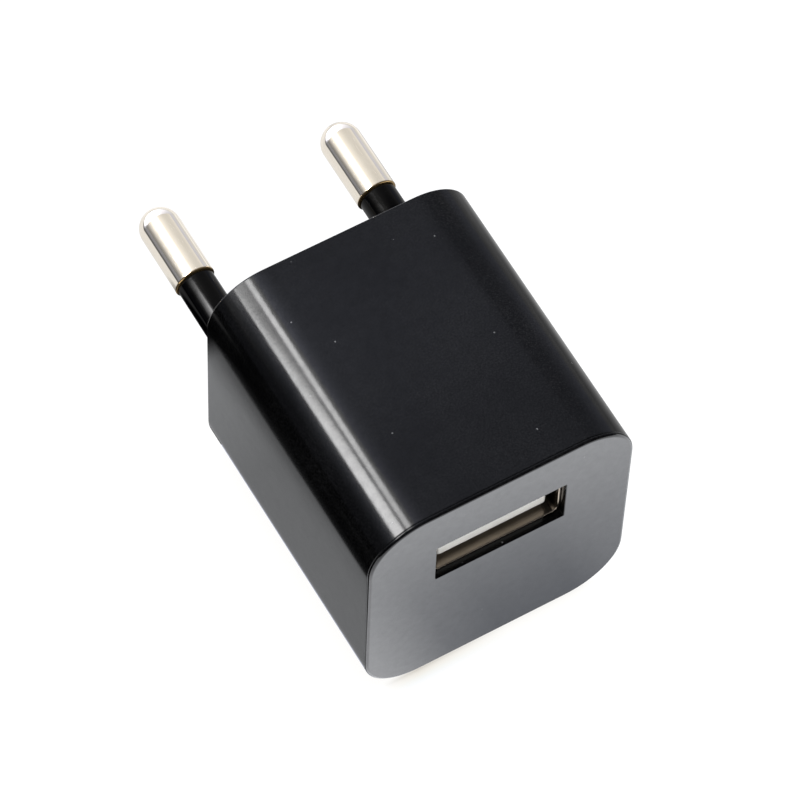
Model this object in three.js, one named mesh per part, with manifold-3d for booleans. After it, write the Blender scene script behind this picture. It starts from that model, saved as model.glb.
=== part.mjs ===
// A cube-shaped USB wall charger with two fixed round pins, in millimetres.
// X runs across the two pins, +Y points out of the rear face along them, +Z is up.
// The origin is on the rear face, midway between the pins.
import * as THREE from "three";
import { mergeVertices } from "three/addons/utils/BufferGeometryUtils.js";
import Module from "manifold-3d";

const wasm = await Module();
wasm.setup();

// ---- Driving dimensions ----------------------------------------------------

const bodyWidth = 26.6;
const bodyHeight = 27.4;
const bodyLength = 29.0;
const cornerRadius = 5.6;
const wall = 1.6;
const rearWall = 2.0;
const rearEdge = 0.4;
const capPlate = 1.5;
const capDepth = 3.5;
const skirtWall = 0.9;

const pinSpacing = 19.0;
const pinRadius = 2.0;
const pinLength = 18.0;
const bareFrom = 9.3;
const coreRadius = 1.2;
const sleeveRadius = 1.7;

const portHeight = 5.05;
const portInner = { width: 12.5, height: 5.12, radius: 0.5 };
const portSheet = 0.3;
const portLength = 13.9;
const cutout = { width: 13.1, height: 5.5 };
const tongueSize = { width: 11.1, height: 1.84 };
const tongueLift = 0.68;
const contactPlaces = [-3.5, -1.0, 1.0, 3.5];
const contactWidth = 1.0;
const contactSheet = 0.25;
const fingerPlaces = [-3.2, 3.2];

const boardThickness = 1.2;
const boardFrontGap = 0.3;
const railReach = 1.0;
const railThickness = 1.0;
const leadRadius = 0.3;
const thinLeadRadius = 0.25;
const leadStub = 0.8;

// Clearances: between parts that fit together, and around a lead in its hole.
const snug = 0.05;
const loose = 0.1;
const leadRoom = 0.15;

// How finely the round shapes are divided.
const roundSides = 24;
const smallSides = 10;
const cornerSteps = 8;

// ---- Places worked out from them --------------------------------------------

const front = -bodyLength;
const flangeThickness = 0.35;
const seam = front + flangeThickness;
const lipThickness = 0.7;
const pocketFloor = front + lipThickness;
const plateBack = front + capPlate;
const skirtEnd = front + capDepth;

const portFront = pocketFloor + snug;
const portRear = portFront + portLength;
const portOuter = {
  width: portInner.width + 2 * portSheet,
  height: portInner.height + 2 * portSheet,
  radius: portInner.radius + portSheet,
};
const portFloor = portHeight - portInner.height / 2;

const tongueFront = portFront + 0.75;
const tongueRoot = portRear - 3.95;
const tongueBottom = portFloor + tongueLift;
const tongueTop = tongueBottom + tongueSize.height;

const boardBottom = portHeight + portOuter.height / 2;
const boardTop = boardBottom + boardThickness;
const boardFront = skirtEnd + boardFrontGap;
const railFront = boardFront + 0.8;
const leadTop = boardTop + leadStub;

// ---- Solids -------------------------------------------------------------------

function solidOf(geometry) {
  const bare = geometry.clone();
  bare.deleteAttribute("normal");
  bare.deleteAttribute("uv");
  const merged = mergeVertices(bare, 1e-4);
  return new wasm.Manifold(new wasm.Mesh({
    numProp: 3,
    vertProperties: new Float32Array(merged.attributes.position.array),
    triVerts: new Uint32Array(merged.index.array),
  }));
}

function geometryOf(solid) {
  const mesh = solid.getMesh();
  const geometry = new THREE.BufferGeometry();
  geometry.setAttribute("position", new THREE.BufferAttribute(mesh.vertProperties, 3));
  geometry.setIndex(new THREE.BufferAttribute(mesh.triVerts, 1));
  const flat = geometry.toNonIndexed();
  flat.computeVertexNormals();
  return flat;
}

function join(...geometries) {
  const solids = geometries.map(solidOf);
  return geometryOf(solids.reduce((whole, next) => whole.add(next)));
}

function cut(geometry, ...tools) {
  const solids = tools.map(solidOf);
  return geometryOf(solids.reduce((whole, next) => whole.subtract(next), solidOf(geometry)));
}

// A block given by its range along each axis.
function block([x0, x1], [y0, y1], [z0, z1]) {
  const geometry = new THREE.BoxGeometry(x1 - x0, y1 - y0, z1 - z0);
  return geometry.translate((x0 + x1) / 2, (y0 + y1) / 2, (z0 + z1) / 2);
}

// A range of the given size around its middle.
function around(middle, size) {
  return [middle - size / 2, middle + size / 2];
}

function roundedOutline(width, height, radius) {
  const x = width / 2 - radius;
  const y = height / 2 - radius;
  const outline = new THREE.Shape();
  outline.absarc(x, y, radius, 0, Math.PI / 2);
  outline.absarc(-x, y, radius, Math.PI / 2, Math.PI);
  outline.absarc(-x, -y, radius, Math.PI, 1.5 * Math.PI);
  outline.absarc(x, -y, radius, 1.5 * Math.PI, 2 * Math.PI);
  outline.closePath();
  return outline;
}

// An outline drawn in X and Z, extruded from one Y to a larger one.
function extrudeY(outline, [y0, y1], height = 0, bevel = 0) {
  const geometry = new THREE.ExtrudeGeometry(outline, {
    depth: y1 - y0 - 2 * bevel,
    curveSegments: cornerSteps,
    bevelEnabled: bevel > 0,
    bevelThickness: bevel,
    bevelSize: bevel,
    bevelOffset: -bevel,
    bevelSegments: 3,
  });
  return geometry.rotateX(Math.PI / 2).translate(0, y1 - bevel, height);
}

// An outline drawn in X and Y, extruded from one Z to a larger one.
function extrudeZ(outline, [z0, z1], x = 0, y = 0) {
  const geometry = new THREE.ExtrudeGeometry(outline, {
    depth: z1 - z0,
    curveSegments: cornerSteps,
    bevelEnabled: false,
  });
  return geometry.translate(x, y, z0);
}

// An outline drawn in Y and Z, extruded along X around a middle.
function extrudeX(outline, width, x = 0) {
  const geometry = new THREE.ExtrudeGeometry(outline, { depth: width, bevelEnabled: false });
  const turn = new THREE.Matrix4().makeBasis(
    new THREE.Vector3(0, 1, 0),
    new THREE.Vector3(0, 0, 1),
    new THREE.Vector3(1, 0, 0),
  );
  return geometry.applyMatrix4(turn).translate(x - width / 2, 0, 0);
}

// A profile of [radius, y] points turned about the Y axis.
function turnedY(profile, x = 0, y = 0, z = 0, sides = roundSides) {
  const points = profile.map(([r, along]) => new THREE.Vector2(r, along));
  return new THREE.LatheGeometry(points, sides).translate(x, y, z);
}

// A profile of [radius, z] points turned about the Z axis.
function turnedZ(profile, x = 0, y = 0, z = 0, sides = roundSides) {
  return turnedY(profile, 0, 0, 0, sides).rotateX(Math.PI / 2).translate(x, y, z);
}

function rodY(radius, [y0, y1], x, z, sides = roundSides) {
  return turnedY([[0, y0], [radius, y0], [radius, y1], [0, y1]], x, 0, z, sides);
}

function rodZ(radius, [z0, z1], x, y, sides = smallSides) {
  return turnedZ([[0, z0], [radius, z0], [radius, z1], [0, z1]], x, y, 0, sides);
}

// A round wire through the given points.
function wire(points, radius = leadRadius) {
  const path = new THREE.CatmullRomCurve3(points.map((p) => new THREE.Vector3(...p)));
  const section = new THREE.Shape().absarc(0, 0, radius, 0, 2 * Math.PI);
  return new THREE.ExtrudeGeometry(section, {
    curveSegments: 4,
    steps: 4 * (points.length - 1),
    extrudePath: path,
  });
}

// A strip of sheet metal bent along a line of [y, z] points, centred on one X.
function bentStrip(line, sheet, width, x = 0) {
  const points = line.map((p) => new THREE.Vector2(...p));
  const side = (sign) => points.map((point, i) => {
    const before = points[Math.max(i - 1, 0)];
    const after = points[Math.min(i + 1, points.length - 1)];
    const into = point.clone().sub(i ? before : point).normalize();
    const out = after.clone().sub(point).normalize();
    const along = into.clone().add(out).normalize();
    const leg = i ? into : out;
    const miter = new THREE.Vector2(-along.y, along.x);
    const stretch = 1 / Math.abs(miter.dot(new THREE.Vector2(-leg.y, leg.x)));
    return point.clone().addScaledVector(miter, (sign * sheet * stretch) / 2);
  });
  return extrudeX(new THREE.Shape([...side(-1), ...side(1).reverse()]), width, x);
}

// ---- Materials ----------------------------------------------------------------

function finish(color, roughness, metalness = 0) {
  return new THREE.MeshStandardMaterial({ color, roughness, metalness });
}

const blackPlastic = finish(0x17181a, 0.3);
const sleevePlastic = finish(0x101011, 0.2);
const nickel = finish(0xd8cfc2, 0.2, 1);
const steel = finish(0xb9b4aa, 0.35, 1);
const whitePlastic = finish(0xe8e8e6, 0.5);
const brass = finish(0xc9a557, 0.3, 1);
const boardGreen = finish(0x2f6b3a, 0.6);
const ferrite = finish(0x2b2b2d, 0.7);
const bobbinPlastic = finish(0x1b1b1b, 0.5);
const copper = finish(0xb8683a, 0.35, 1);
const tape = finish(0xd9b93a, 0.5);
const capacitorSleeve = finish(0x1d2a52, 0.35);
const ceramicBlue = finish(0x2f66b0, 0.5);
const resistorGreen = finish(0x6f9a72, 0.6);
const epoxyBlack = finish(0x1c1c1d, 0.5);

const charger = new THREE.Group();

function place(name, geometry, material) {
  const mesh = new THREE.Mesh(geometry, material);
  mesh.name = name;
  charger.add(mesh);
}

// ---- Casing -------------------------------------------------------------------

const cavityWidth = bodyWidth - 2 * wall;
const cavityHeight = bodyHeight - 2 * wall;
const cavityRadius = cornerRadius - wall;
const overshoot = 1;

function mainShell() {
  const outline = roundedOutline(bodyWidth, bodyHeight, cornerRadius);
  const outside = extrudeY(outline, [front - overshoot, 0], 0, rearEdge);
  const mouth = block([-bodyWidth, bodyWidth], [front - 2 * overshoot, seam], [-bodyHeight, bodyHeight]);
  const hollow = extrudeY(
    roundedOutline(cavityWidth, cavityHeight, cavityRadius),
    [front - 2 * overshoot, -rearWall],
  );
  const pinHoles = [-1, 1].map((side) =>
    rodY(sleeveRadius + snug, [-rearWall - overshoot, overshoot], (side * pinSpacing) / 2, 0));
  return join(cut(outside, mouth, hollow, ...pinHoles), ...boardRails());
}

// Two ribs on each side wall hold the edges of the board.
function boardRails() {
  const along = [railFront, -rearWall + loose];
  const offset = loose + railThickness / 2;
  const middles = [boardBottom - offset, boardTop + offset];
  const rail = (side, middle) => {
    const inner = cavityWidth / 2 - railReach;
    const outer = cavityWidth / 2 + wall / 2;
    const across = side > 0 ? [inner, outer] : [-outer, -inner];
    return block(across, along, around(middle, railThickness));
  };
  return [-1, 1].flatMap((side) => middles.map((middle) => rail(side, middle)));
}

function frontCap() {
  const fit = (inset) => roundedOutline(
    cavityWidth - 2 * inset,
    cavityHeight - 2 * inset,
    cavityRadius - inset,
  );
  const flange = extrudeY(roundedOutline(bodyWidth, bodyHeight, cornerRadius), [front, seam]);
  const plug = extrudeY(fit(loose), [seam, skirtEnd]);
  const inside = extrudeY(fit(loose + skirtWall), [plateBack, skirtEnd + overshoot]);
  const slot = block(
    around(0, cutout.width),
    [front - overshoot, skirtEnd],
    around(portHeight, cutout.height),
  );
  const pocket = block(
    around(0, portOuter.width + 4 * loose),
    [pocketFloor, skirtEnd],
    around(portHeight, portOuter.height + 4 * loose),
  );
  return cut(join(flange, plug), inside, slot, pocket);
}

place("main_shell", mainShell(), blackPlastic);
place("front_cap", frontCap(), blackPlastic);

// ---- Pins, their sleeves and the contacts that press on them --------------------

const collarThickness = 1.0;
const headThickness = 1.0;
const collar = { radius: 2.1, from: -rearWall - collarThickness, to: -rearWall };
const head = { radius: 1.9, from: collar.from - headThickness, to: collar.from };

function pin(x) {
  const shoulder = 0.15;
  const domeStart = pinLength - pinRadius;
  const domeSteps = 6;
  const profile = [
    [0, head.from],
    [head.radius, head.from],
    [head.radius, head.to],
    [coreRadius, head.to],
    [coreRadius, bareFrom],
    [pinRadius - shoulder, bareFrom],
    [pinRadius, bareFrom + shoulder],
  ];
  for (let i = 0; i < domeSteps; i += 1) {
    const angle = ((i / domeSteps) * Math.PI) / 2;
    profile.push([pinRadius * Math.cos(angle), domeStart + pinRadius * Math.sin(angle)]);
  }
  profile.push([0, pinLength]);
  return turnedY(profile, x);
}

function pinSleeve(x) {
  const bore = coreRadius + snug;
  const end = bareFrom - loose;
  return turnedY([
    [bore, collar.from],
    [collar.radius, collar.from],
    [collar.radius, collar.to],
    [sleeveRadius, collar.to],
    [sleeveRadius, end],
    [bore, end],
    [bore, collar.from],
  ], x);
}

// A leaf stands on the board and its lower end presses on the head of a pin.
const leaf = { sheet: 0.3, width: 2.2, tab: 1.2, foot: -3.4, bend: -2.2, kick: 0.6 };
const leafMiddle = head.from - leaf.sheet / 2;

function acContact(x) {
  const shoulderHeight = boardBottom - loose;
  const strip = bentStrip([
    [leafMiddle - leaf.kick, leaf.foot],
    [leafMiddle, leaf.bend],
    [leafMiddle, shoulderHeight],
  ], leaf.sheet, leaf.width, x);
  const tab = block(
    around(x, leaf.tab),
    around(leafMiddle, leaf.sheet),
    [shoulderHeight - overshoot, leadTop],
  );
  return join(strip, tab);
}

for (const [side, word] of [[-1, "left"], [1, "right"]]) {
  const x = (side * pinSpacing) / 2;
  place(`pin_${word}`, pin(x), nickel);
  place(`pin_sleeve_${word}`, pinSleeve(x), sleevePlastic);
  place(`ac_contact_${word}`, acContact(x), brass);
}

// ---- USB port -------------------------------------------------------------------

const leg = { from: portFront + 5.3, width: 1.8 };

function usbShell() {
  const along = [portFront, portRear];
  const { width, height, radius } = portInner;
  const tube = cut(
    extrudeY(roundedOutline(portOuter.width, portOuter.height, portOuter.radius), along, portHeight),
    extrudeY(
      roundedOutline(width, height, radius),
      [portFront - overshoot, portRear + overshoot],
      portHeight,
    ),
  );
  const legs = [-1, 1].map((side) => block(
    around((side * (width + portSheet)) / 2, portSheet),
    [leg.from, leg.from + leg.width],
    [portHeight, leadTop],
  ));
  const windows = [];
  const fingers = [];
  for (const side of [-1, 1]) {
    for (const x of fingerPlaces) {
      windows.push(fingerWindow(x, side));
      fingers.push(springFinger(x, side));
    }
  }
  return join(cut(tube, ...windows), ...legs, ...fingers);
}

// Spring fingers in the floor (side -1) and the ceiling (side 1) of the port.
const finger = {
  width: 1.6,
  gap: 0.4,
  root: portFront + 6.6,
  bend: portFront + 2.8,
  tip: portFront + 1.9,
  lift: 0.35,
  tipLift: 0.14,
};

function sheetMiddle(side) {
  return portHeight + (side * (portInner.height + portSheet)) / 2;
}

function fingerWindow(x, side) {
  return block(
    around(x, finger.width + 2 * finger.gap),
    [finger.tip - finger.gap, finger.root - portSheet],
    around(sheetMiddle(side), 4 * portSheet),
  );
}

function springFinger(x, side) {
  const sheet = sheetMiddle(side);
  return bentStrip([
    [finger.root, sheet],
    [finger.bend, sheet - side * finger.lift],
    [finger.tip, sheet - side * finger.tipLift],
  ], portSheet, finger.width, x);
}

place("usb_shell", usbShell(), steel);

// The contacts lie in grooves of the tongue and leave through slots in its base.
const grooveWidth = contactWidth + 2 * loose;
const grooveDepth = 0.9;
const grooveFront = tongueFront + 0.5;
const contactHeight = tongueTop - 0.31;
const base = { from: tongueRoot, to: portRear - 0.25, width: 12.0, height: 4.8 };
const flexure = tongueRoot - 0.35;

function usbInsulator() {
  const tongue = block(
    around(0, tongueSize.width),
    [tongueFront, tongueRoot + overshoot],
    [tongueBottom, tongueTop],
  );
  const foot = block(
    around(0, base.width),
    [base.from, base.to],
    around(portHeight, base.height),
  );
  const grooves = contactPlaces.map((x) => block(
    around(x, grooveWidth),
    [grooveFront, tongueRoot],
    [tongueTop - grooveDepth, tongueTop + overshoot],
  ));
  const slots = contactPlaces.map((x) => block(
    around(x, grooveWidth),
    [tongueRoot - loose, base.to + overshoot],
    around(contactHeight, contactSheet + 1.5 * loose),
  ));
  return cut(join(tongue, foot), ...grooves, ...slots);
}

// The arm turns about the flexure: it rises to a bump and its tip dips back into the groove.
// Each point is its distance from the tongue's front and its rise above the flexure.
const armStart = flexure - snug - tongueFront;
const armLine = [
  [armStart, 0],
  [armStart - 1.8, 0.05],
  [2.5, 0.62],
  [1.9, 0.65],
  [0.85, 0.22],
];

function contactArm(x) {
  const line = armLine.map(([along, rise]) => [tongueFront + along, contactHeight + rise]);
  return bentStrip(line, contactSheet, contactWidth, x);
}

const tailRear = portRear + 0.25;

function contactTail(x) {
  return bentStrip([
    [flexure + snug, contactHeight],
    [tailRear, contactHeight],
    [tailRear, leadTop],
  ], contactSheet, contactWidth, x);
}

place("usb_insulator", usbInsulator(), whitePlastic);
contactPlaces.forEach((x, i) => {
  place(`usb_contact_arm_${i + 1}`, contactArm(x), brass);
  place(`usb_contact_tail_${i + 1}`, contactTail(x), brass);
});

// ---- Transformer ----------------------------------------------------------------

const transformer = { x: -5.5, y: -8.85, top: boardBottom - 0.6, height: 10.2 };
const core = { width: 10.2, depth: 3.6, bar: 1.2, centre: 2.45, outer: 1.25 };
const former = { wall: 0.5, flange: 0.6, width: 7.4, depth: 8.3, rail: 1.5 };
const layers = { primary: [0.05, 0.75], secondary: [0.8, 1.25], tape: [1.3, 1.45] };
const coreMiddle = transformer.top - transformer.height / 2;

// One E-shaped half: a bar with three legs that reach the other half at the middle.
function coreHalf(side) {
  const barFrom = transformer.height / 2 - core.bar;
  const sizes = [
    [0, core.width, barFrom, transformer.height / 2],
    [0, core.centre, 0, barFrom + snug],
    [(core.outer - core.width) / 2, core.outer, 0, barFrom + snug],
    [(core.width - core.outer) / 2, core.outer, 0, barFrom + snug],
  ];
  return join(...sizes.map(([x, width, from, to]) => {
    const height = side > 0 ? [coreMiddle + from, coreMiddle + to] : [coreMiddle - to, coreMiddle - from];
    return block(around(transformer.x + x, width), around(transformer.y, core.depth), height);
  }));
}

const spoolTop = transformer.top - core.bar - loose;
const spoolBottom = transformer.top - transformer.height + core.bar + loose;
const spoolWidth = core.centre + 2 * loose + 2 * former.wall;
const spoolDepth = core.depth + 2 * loose + 2 * former.wall;

// Terminals: three on the port's side and two on the pins' side.
const terminalPitch = 3.4;
const terminalReach = (former.depth - former.rail) / 2;
const terminalFoot = spoolTop - former.flange + 0.4;
const terminals = [[-1, -1], [0, -1], [1, -1], [-1, 1], [1, 1]].map(([across, along]) => [
  transformer.x + across * terminalPitch,
  transformer.y + along * terminalReach,
]);

function bobbin() {
  const { x, y } = transformer;
  const flange = (from) => block(
    around(x, former.width),
    around(y, former.depth),
    [from, from + former.flange],
  );
  const tube = block(around(x, spoolWidth), around(y, spoolDepth), [spoolBottom, spoolTop]);
  const bore = block(
    around(x, core.centre + 2 * loose),
    around(y, core.depth + 2 * loose),
    [spoolBottom - overshoot, spoolTop + overshoot],
  );
  const rails = [-1, 1].map((side) => block(
    around(x, core.width),
    around(y + side * terminalReach, former.rail),
    [spoolTop - former.flange, boardBottom],
  ));
  const holes = terminals.map(([tx, ty]) =>
    rodZ(leadRadius + leadRoom, [terminalFoot, boardBottom + overshoot], tx, ty));
  return cut(join(tube, flange(spoolBottom), flange(spoolTop - former.flange), ...rails), bore, ...holes);
}

// A closed ring of wire or tape round the spool, between its flanges.
function ring([from, to]) {
  const outline = roundedOutline(spoolWidth + 2 * to, spoolDepth + 2 * to, to + 0.3);
  outline.holes.push(roundedOutline(spoolWidth + 2 * from, spoolDepth + 2 * from, from + 0.1));
  const along = [spoolBottom + former.flange + snug, spoolTop - former.flange - snug];
  return extrudeZ(outline, along, transformer.x, transformer.y);
}

place("transformer_core_upper", coreHalf(1), ferrite);
place("transformer_core_lower", coreHalf(-1), ferrite);
place("transformer_bobbin", bobbin(), bobbinPlastic);
place("primary_winding", ring(layers.primary), copper);
place("secondary_winding", ring(layers.secondary), copper);
place("transformer_tape", ring(layers.tape), tape);
terminals.forEach(([x, y], i) => {
  place(`transformer_terminal_${i + 1}`, rodZ(leadRadius, [terminalFoot + snug, leadTop], x, y), steel);
});

// ---- Capacitors ------------------------------------------------------------------

// The can of an electrolytic capacitor from its lead side, with its rolled groove.
function canProfile(radius, length) {
  const edge = 0.3;
  const groove = { at: 1.7, half: 0.5, depth: 0.35 };
  return [
    [0, 0],
    [radius - edge, 0],
    [radius, edge],
    [radius, groove.at - groove.half],
    [radius - groove.depth, groove.at],
    [radius, groove.at + groove.half],
    [radius, length - edge],
    [radius - edge, length],
    [0, length],
  ];
}

const inputCan = { x: 5.2, y: -8.9, radius: 4.0, length: 12.0, pitch: 3.5 };
const outputCan = { x: -6.3, z: -2.6, radius: 3.15, length: 11.0, pitch: 2.5, base: portRear - 0.65 };
const outputLeadRear = portRear + 0.65;
const bendRadius = 0.5;
const disc = { x: -9.2, y: -17.2, z: 3.9, radius: 3.0, thickness: 2.6, pitch: 4.0 };

const inputLeads = around(inputCan.x, inputCan.pitch).map((x) => [x, inputCan.y]);
const outputLeads = around(outputCan.x, outputCan.pitch).map((x) => [x, outputLeadRear]);
const discLeads = around(disc.y, disc.pitch).map((y) => [disc.x, y]);

function inputCapacitor() {
  const top = boardBottom - 0.5;
  const can = turnedY(canProfile(inputCan.radius, inputCan.length))
    .rotateX(-Math.PI / 2)
    .translate(inputCan.x, inputCan.y, top);
  const leads = inputLeads.map(([x, y]) => rodZ(leadRadius, [top - overshoot, leadTop], x, y));
  return join(can, ...leads);
}

function outputCapacitor() {
  const can = turnedY(canProfile(outputCan.radius, outputCan.length))
    .rotateX(Math.PI)
    .translate(outputCan.x, outputCan.base, outputCan.z);
  const leads = outputLeads.map(([x, y]) => wire([
    [x, outputCan.base - overshoot, outputCan.z],
    [x, y - bendRadius, outputCan.z],
    [x, y, outputCan.z + bendRadius],
    [x, y, leadTop],
  ], thinLeadRadius));
  return join(can, ...leads);
}

function yCapacitor() {
  const half = disc.thickness / 2;
  const edge = 0.9;
  const lens = turnedY([
    [0, -half],
    [disc.radius - edge, -half],
    [disc.radius, -half + edge],
    [disc.radius, half - edge],
    [disc.radius - edge, half],
    [0, half],
  ]).rotateZ(-Math.PI / 2).translate(disc.x, disc.y, disc.z);
  const leads = discLeads.map(([x, y]) => rodZ(leadRadius, [disc.z, leadTop], x, y));
  return join(lens, ...leads);
}

place("input_capacitor", inputCapacitor(), capacitorSleeve);
place("output_capacitor", outputCapacitor(), capacitorSleeve);
place("y_capacitor", yCapacitor(), ceramicBlue);

// ---- Wired parts below the board ---------------------------------------------------

const resistor = { x: 9.2, z: 6.0, radius: 1.3, from: -23.8, to: -17.8, reach: 0.9 };
const transistor = { x: 8.8, y: -14.3, radius: 2.0, flat: 1.3, from: 2.0, to: 6.6, pitch: 1.27 };
const diode = { x: -9.3, y: -22.3, radius: 1.35, from: 2.1, to: 7.3, loop: -2.1, sag: 0.9 };

const resistorLeads = [resistor.from - resistor.reach, resistor.to + resistor.reach]
  .map((y) => [resistor.x, y]);
const transistorLeads = [-1, 0, 1].map((i) => [transistor.x + i * transistor.pitch, transistor.y]);
const diodeLeads = [diode.y, diode.y + diode.loop].map((y) => [diode.x, y]);

function fusibleResistor() {
  const { x, z, radius, from, to } = resistor;
  const end = 0.4;
  const body = turnedY([
    [0, from],
    [radius - end, from],
    [radius, from + end],
    [radius, to - end],
    [radius - end, to],
    [0, to],
  ], x, 0, z);
  const leads = [[from, -1], [to, 1]].map(([y, way]) => wire([
    [x, y - way * bendRadius, z],
    [x, y + way * (resistor.reach - bendRadius), z],
    [x, y + way * resistor.reach, z + bendRadius],
    [x, y + way * resistor.reach, leadTop],
  ]));
  return join(body, ...leads);
}

function switchingTransistor() {
  const { x, y, radius, flat, from, to } = transistor;
  const start = Math.asin(flat / radius);
  const outline = new THREE.Shape().absarc(0, 0, radius, -start, Math.PI + start);
  outline.closePath();
  const body = extrudeZ(outline, [from, to], x, y);
  const leads = transistorLeads.map(([lx, ly]) =>
    rodZ(thinLeadRadius, [to - overshoot, leadTop], lx, ly));
  return join(body, ...leads);
}

function outputDiode() {
  const { x, y, radius, from, to, loop, sag } = diode;
  const body = rodZ(radius, [from, to], x, y, roundSides);
  const straight = rodZ(leadRadius, [to - overshoot, leadTop], x, y);
  const looped = wire([
    [x, y, from + bendRadius],
    [x, y, from - sag / 2],
    [x, y + loop / 2, from - sag],
    [x, y + loop, from - sag / 8],
    [x, y + loop, leadTop],
  ]);
  return join(body, straight, looped);
}

place("fusible_resistor", fusibleResistor(), resistorGreen);
place("switching_transistor", switchingTransistor(), epoxyBlack);
place("output_diode", outputDiode(), epoxyBlack);

// ---- Chips on the upper side of the board -------------------------------------------

// A moulded package with short feet on its two long sides.
function packaged(x, y, [width, depth, height], feet) {
  const foot = { width: 0.4, length: 0.8, height: 0.5, inside: 0.1 };
  const body = block(around(x, width), around(y, depth), [boardTop + loose, boardTop + height]);
  const toes = feet.flatMap((along) => [-1, 1].map((side) => block(
    around(x + along, foot.width),
    around(y + side * (depth / 2 + foot.length / 2 - foot.inside), foot.length),
    [boardTop, boardTop + foot.height],
  )));
  return join(body, ...toes);
}

// A chip resistor or capacitor: a block with a slightly larger metal cap at each end.
function chip(x, y, height) {
  const size = { length: 3.2, width: 1.6, cap: 0.5, step: 0.03 };
  const body = block(
    around(x, size.length - size.cap),
    around(y, size.width - 2 * size.step),
    [boardTop + size.step, boardTop + height - size.step],
  );
  const caps = [-1, 1].map((side) => block(
    around(x + (side * (size.length - size.cap)) / 2, size.cap),
    around(y, size.width),
    [boardTop, boardTop + height],
  ));
  return join(body, ...caps);
}

place("bridge_rectifier", packaged(2.8, -19.5, [4.7, 3.8, 2.4], [-1.3, 1.3]), epoxyBlack);
place("controller_ic", packaged(-3.0, -19.5, [2.9, 1.6, 1.1], [-0.95, 0, 0.95]), epoxyBlack);
place("snubber_diode", packaged(0.6, -8.9, [2.6, 3.6, 2.1], [0]), epoxyBlack);

const chipResistors = [[-3.0, -22.6], [2.6, -23.4], [-3.0, -16.9], [-8.9, -8.9]];
chipResistors.forEach(([x, y], i) => place(`chip_resistor_${i + 1}`, chip(x, y, 0.55), epoxyBlack));
const chipCapacitors = [[8.9, -20.6], [2.6, -5.4]];
chipCapacitors.forEach(([x, y], i) => place(`chip_capacitor_${i + 1}`, chip(x, y, 0.9), bobbinPlastic));

// ---- Circuit board ------------------------------------------------------------------

function circuitBoard() {
  const board = block(
    around(0, cavityWidth - 6 * loose),
    [boardFront, -rearWall - 4 * loose],
    [boardBottom, boardTop],
  );
  const through = [boardBottom - overshoot, boardTop + overshoot];
  const slot = (x, y, width, depth) => block(
    around(x, width + 4 * loose),
    around(y, depth + 4 * loose),
    through,
  );
  const sides = [-1, 1];
  const legSlots = sides.map((side) => slot(
    (side * (portInner.width + portSheet)) / 2,
    leg.from + leg.width / 2,
    portSheet,
    leg.width,
  ));
  const leafSlots = sides.map((side) => slot((side * pinSpacing) / 2, leafMiddle, leaf.tab, leaf.sheet));
  const tailSlots = contactPlaces.map((x) => slot(x, tailRear, contactWidth, contactSheet));
  const holes = [
    ...terminals,
    ...inputLeads,
    ...outputLeads,
    ...discLeads,
    ...resistorLeads,
    ...transistorLeads,
    ...diodeLeads,
  ].map(([x, y]) => rodZ(leadRadius + leadRoom, through, x, y));
  return cut(board, ...legSlots, ...leafSlots, ...tailSlots, ...holes);
}

place("circuit_board", circuitBoard(), boardGreen);

export default charger;
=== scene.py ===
"""The looks of a cube-shaped USB wall charger with two round pins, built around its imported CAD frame.

Everything is in metres in the CAD frame: X runs across the pins, +Y points out of the rear face along
them and +Z is up.
"""
import math

import bmesh
import bpy
from mathutils import Matrix, Vector

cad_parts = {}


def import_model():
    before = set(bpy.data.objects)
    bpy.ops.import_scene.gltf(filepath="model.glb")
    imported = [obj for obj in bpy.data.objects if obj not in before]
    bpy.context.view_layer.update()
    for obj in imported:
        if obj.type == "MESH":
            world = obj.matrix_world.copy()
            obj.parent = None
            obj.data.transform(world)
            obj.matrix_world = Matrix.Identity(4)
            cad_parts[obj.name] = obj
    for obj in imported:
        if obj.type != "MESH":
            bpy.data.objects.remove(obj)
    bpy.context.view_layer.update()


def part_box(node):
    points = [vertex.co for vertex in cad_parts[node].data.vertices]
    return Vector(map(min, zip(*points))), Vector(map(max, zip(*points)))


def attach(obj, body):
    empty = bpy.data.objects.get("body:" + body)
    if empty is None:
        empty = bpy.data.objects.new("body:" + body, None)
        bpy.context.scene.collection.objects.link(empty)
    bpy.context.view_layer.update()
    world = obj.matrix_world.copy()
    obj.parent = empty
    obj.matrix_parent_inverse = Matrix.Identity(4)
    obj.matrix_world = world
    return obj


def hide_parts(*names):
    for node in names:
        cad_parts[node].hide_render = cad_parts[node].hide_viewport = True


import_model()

MM = 0.001
SIDES = (-1, 1)


# ---- Places and sizes that come from the frame ------------------------------------------------

def node_box(node):
    """The lowest and highest corners of a CAD node, and its middle."""
    low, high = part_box(node)
    return low, high, (low + high) / 2


shell_low, shell_high, _ = node_box("main_shell")
cap_low, cap_high, _ = node_box("front_cap")
port_low, port_high, _ = node_box("usb_shell")
insulator_low, insulator_high, _ = node_box("usb_insulator")
board_low, board_high, _ = node_box("circuit_board")
pins = {word: node_box(f"pin_{word}") for word in ("left", "right")}
sleeves = {word: node_box(f"pin_sleeve_{word}") for word in ("left", "right")}

BODY_WIDTH = shell_high.x - shell_low.x
BODY_HEIGHT = shell_high.z - shell_low.z
SIDE = BODY_WIDTH / 2
FRONT = cap_low.y
SEAM = shell_low.y
REAR = shell_high.y
FLOOR_LEVEL = shell_low.z

CORNER_RADIUS = 5.6 * MM
CORNER_EASE = 0.15
WALL = 1.6 * MM
REAR_WALL = 2.0 * MM
REAR_FILLET = 0.15 * MM
SNUG = 0.05 * MM
LOOSE = 0.1 * MM

PORT_SHEET = 0.3 * MM
PORT_WIDTH = port_high.x - port_low.x - 2 * PORT_SHEET
PORT_HEIGHT = 5.12 * MM
PORT_MIDDLE = port_low.z + PORT_SHEET + PORT_HEIGHT / 2

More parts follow.
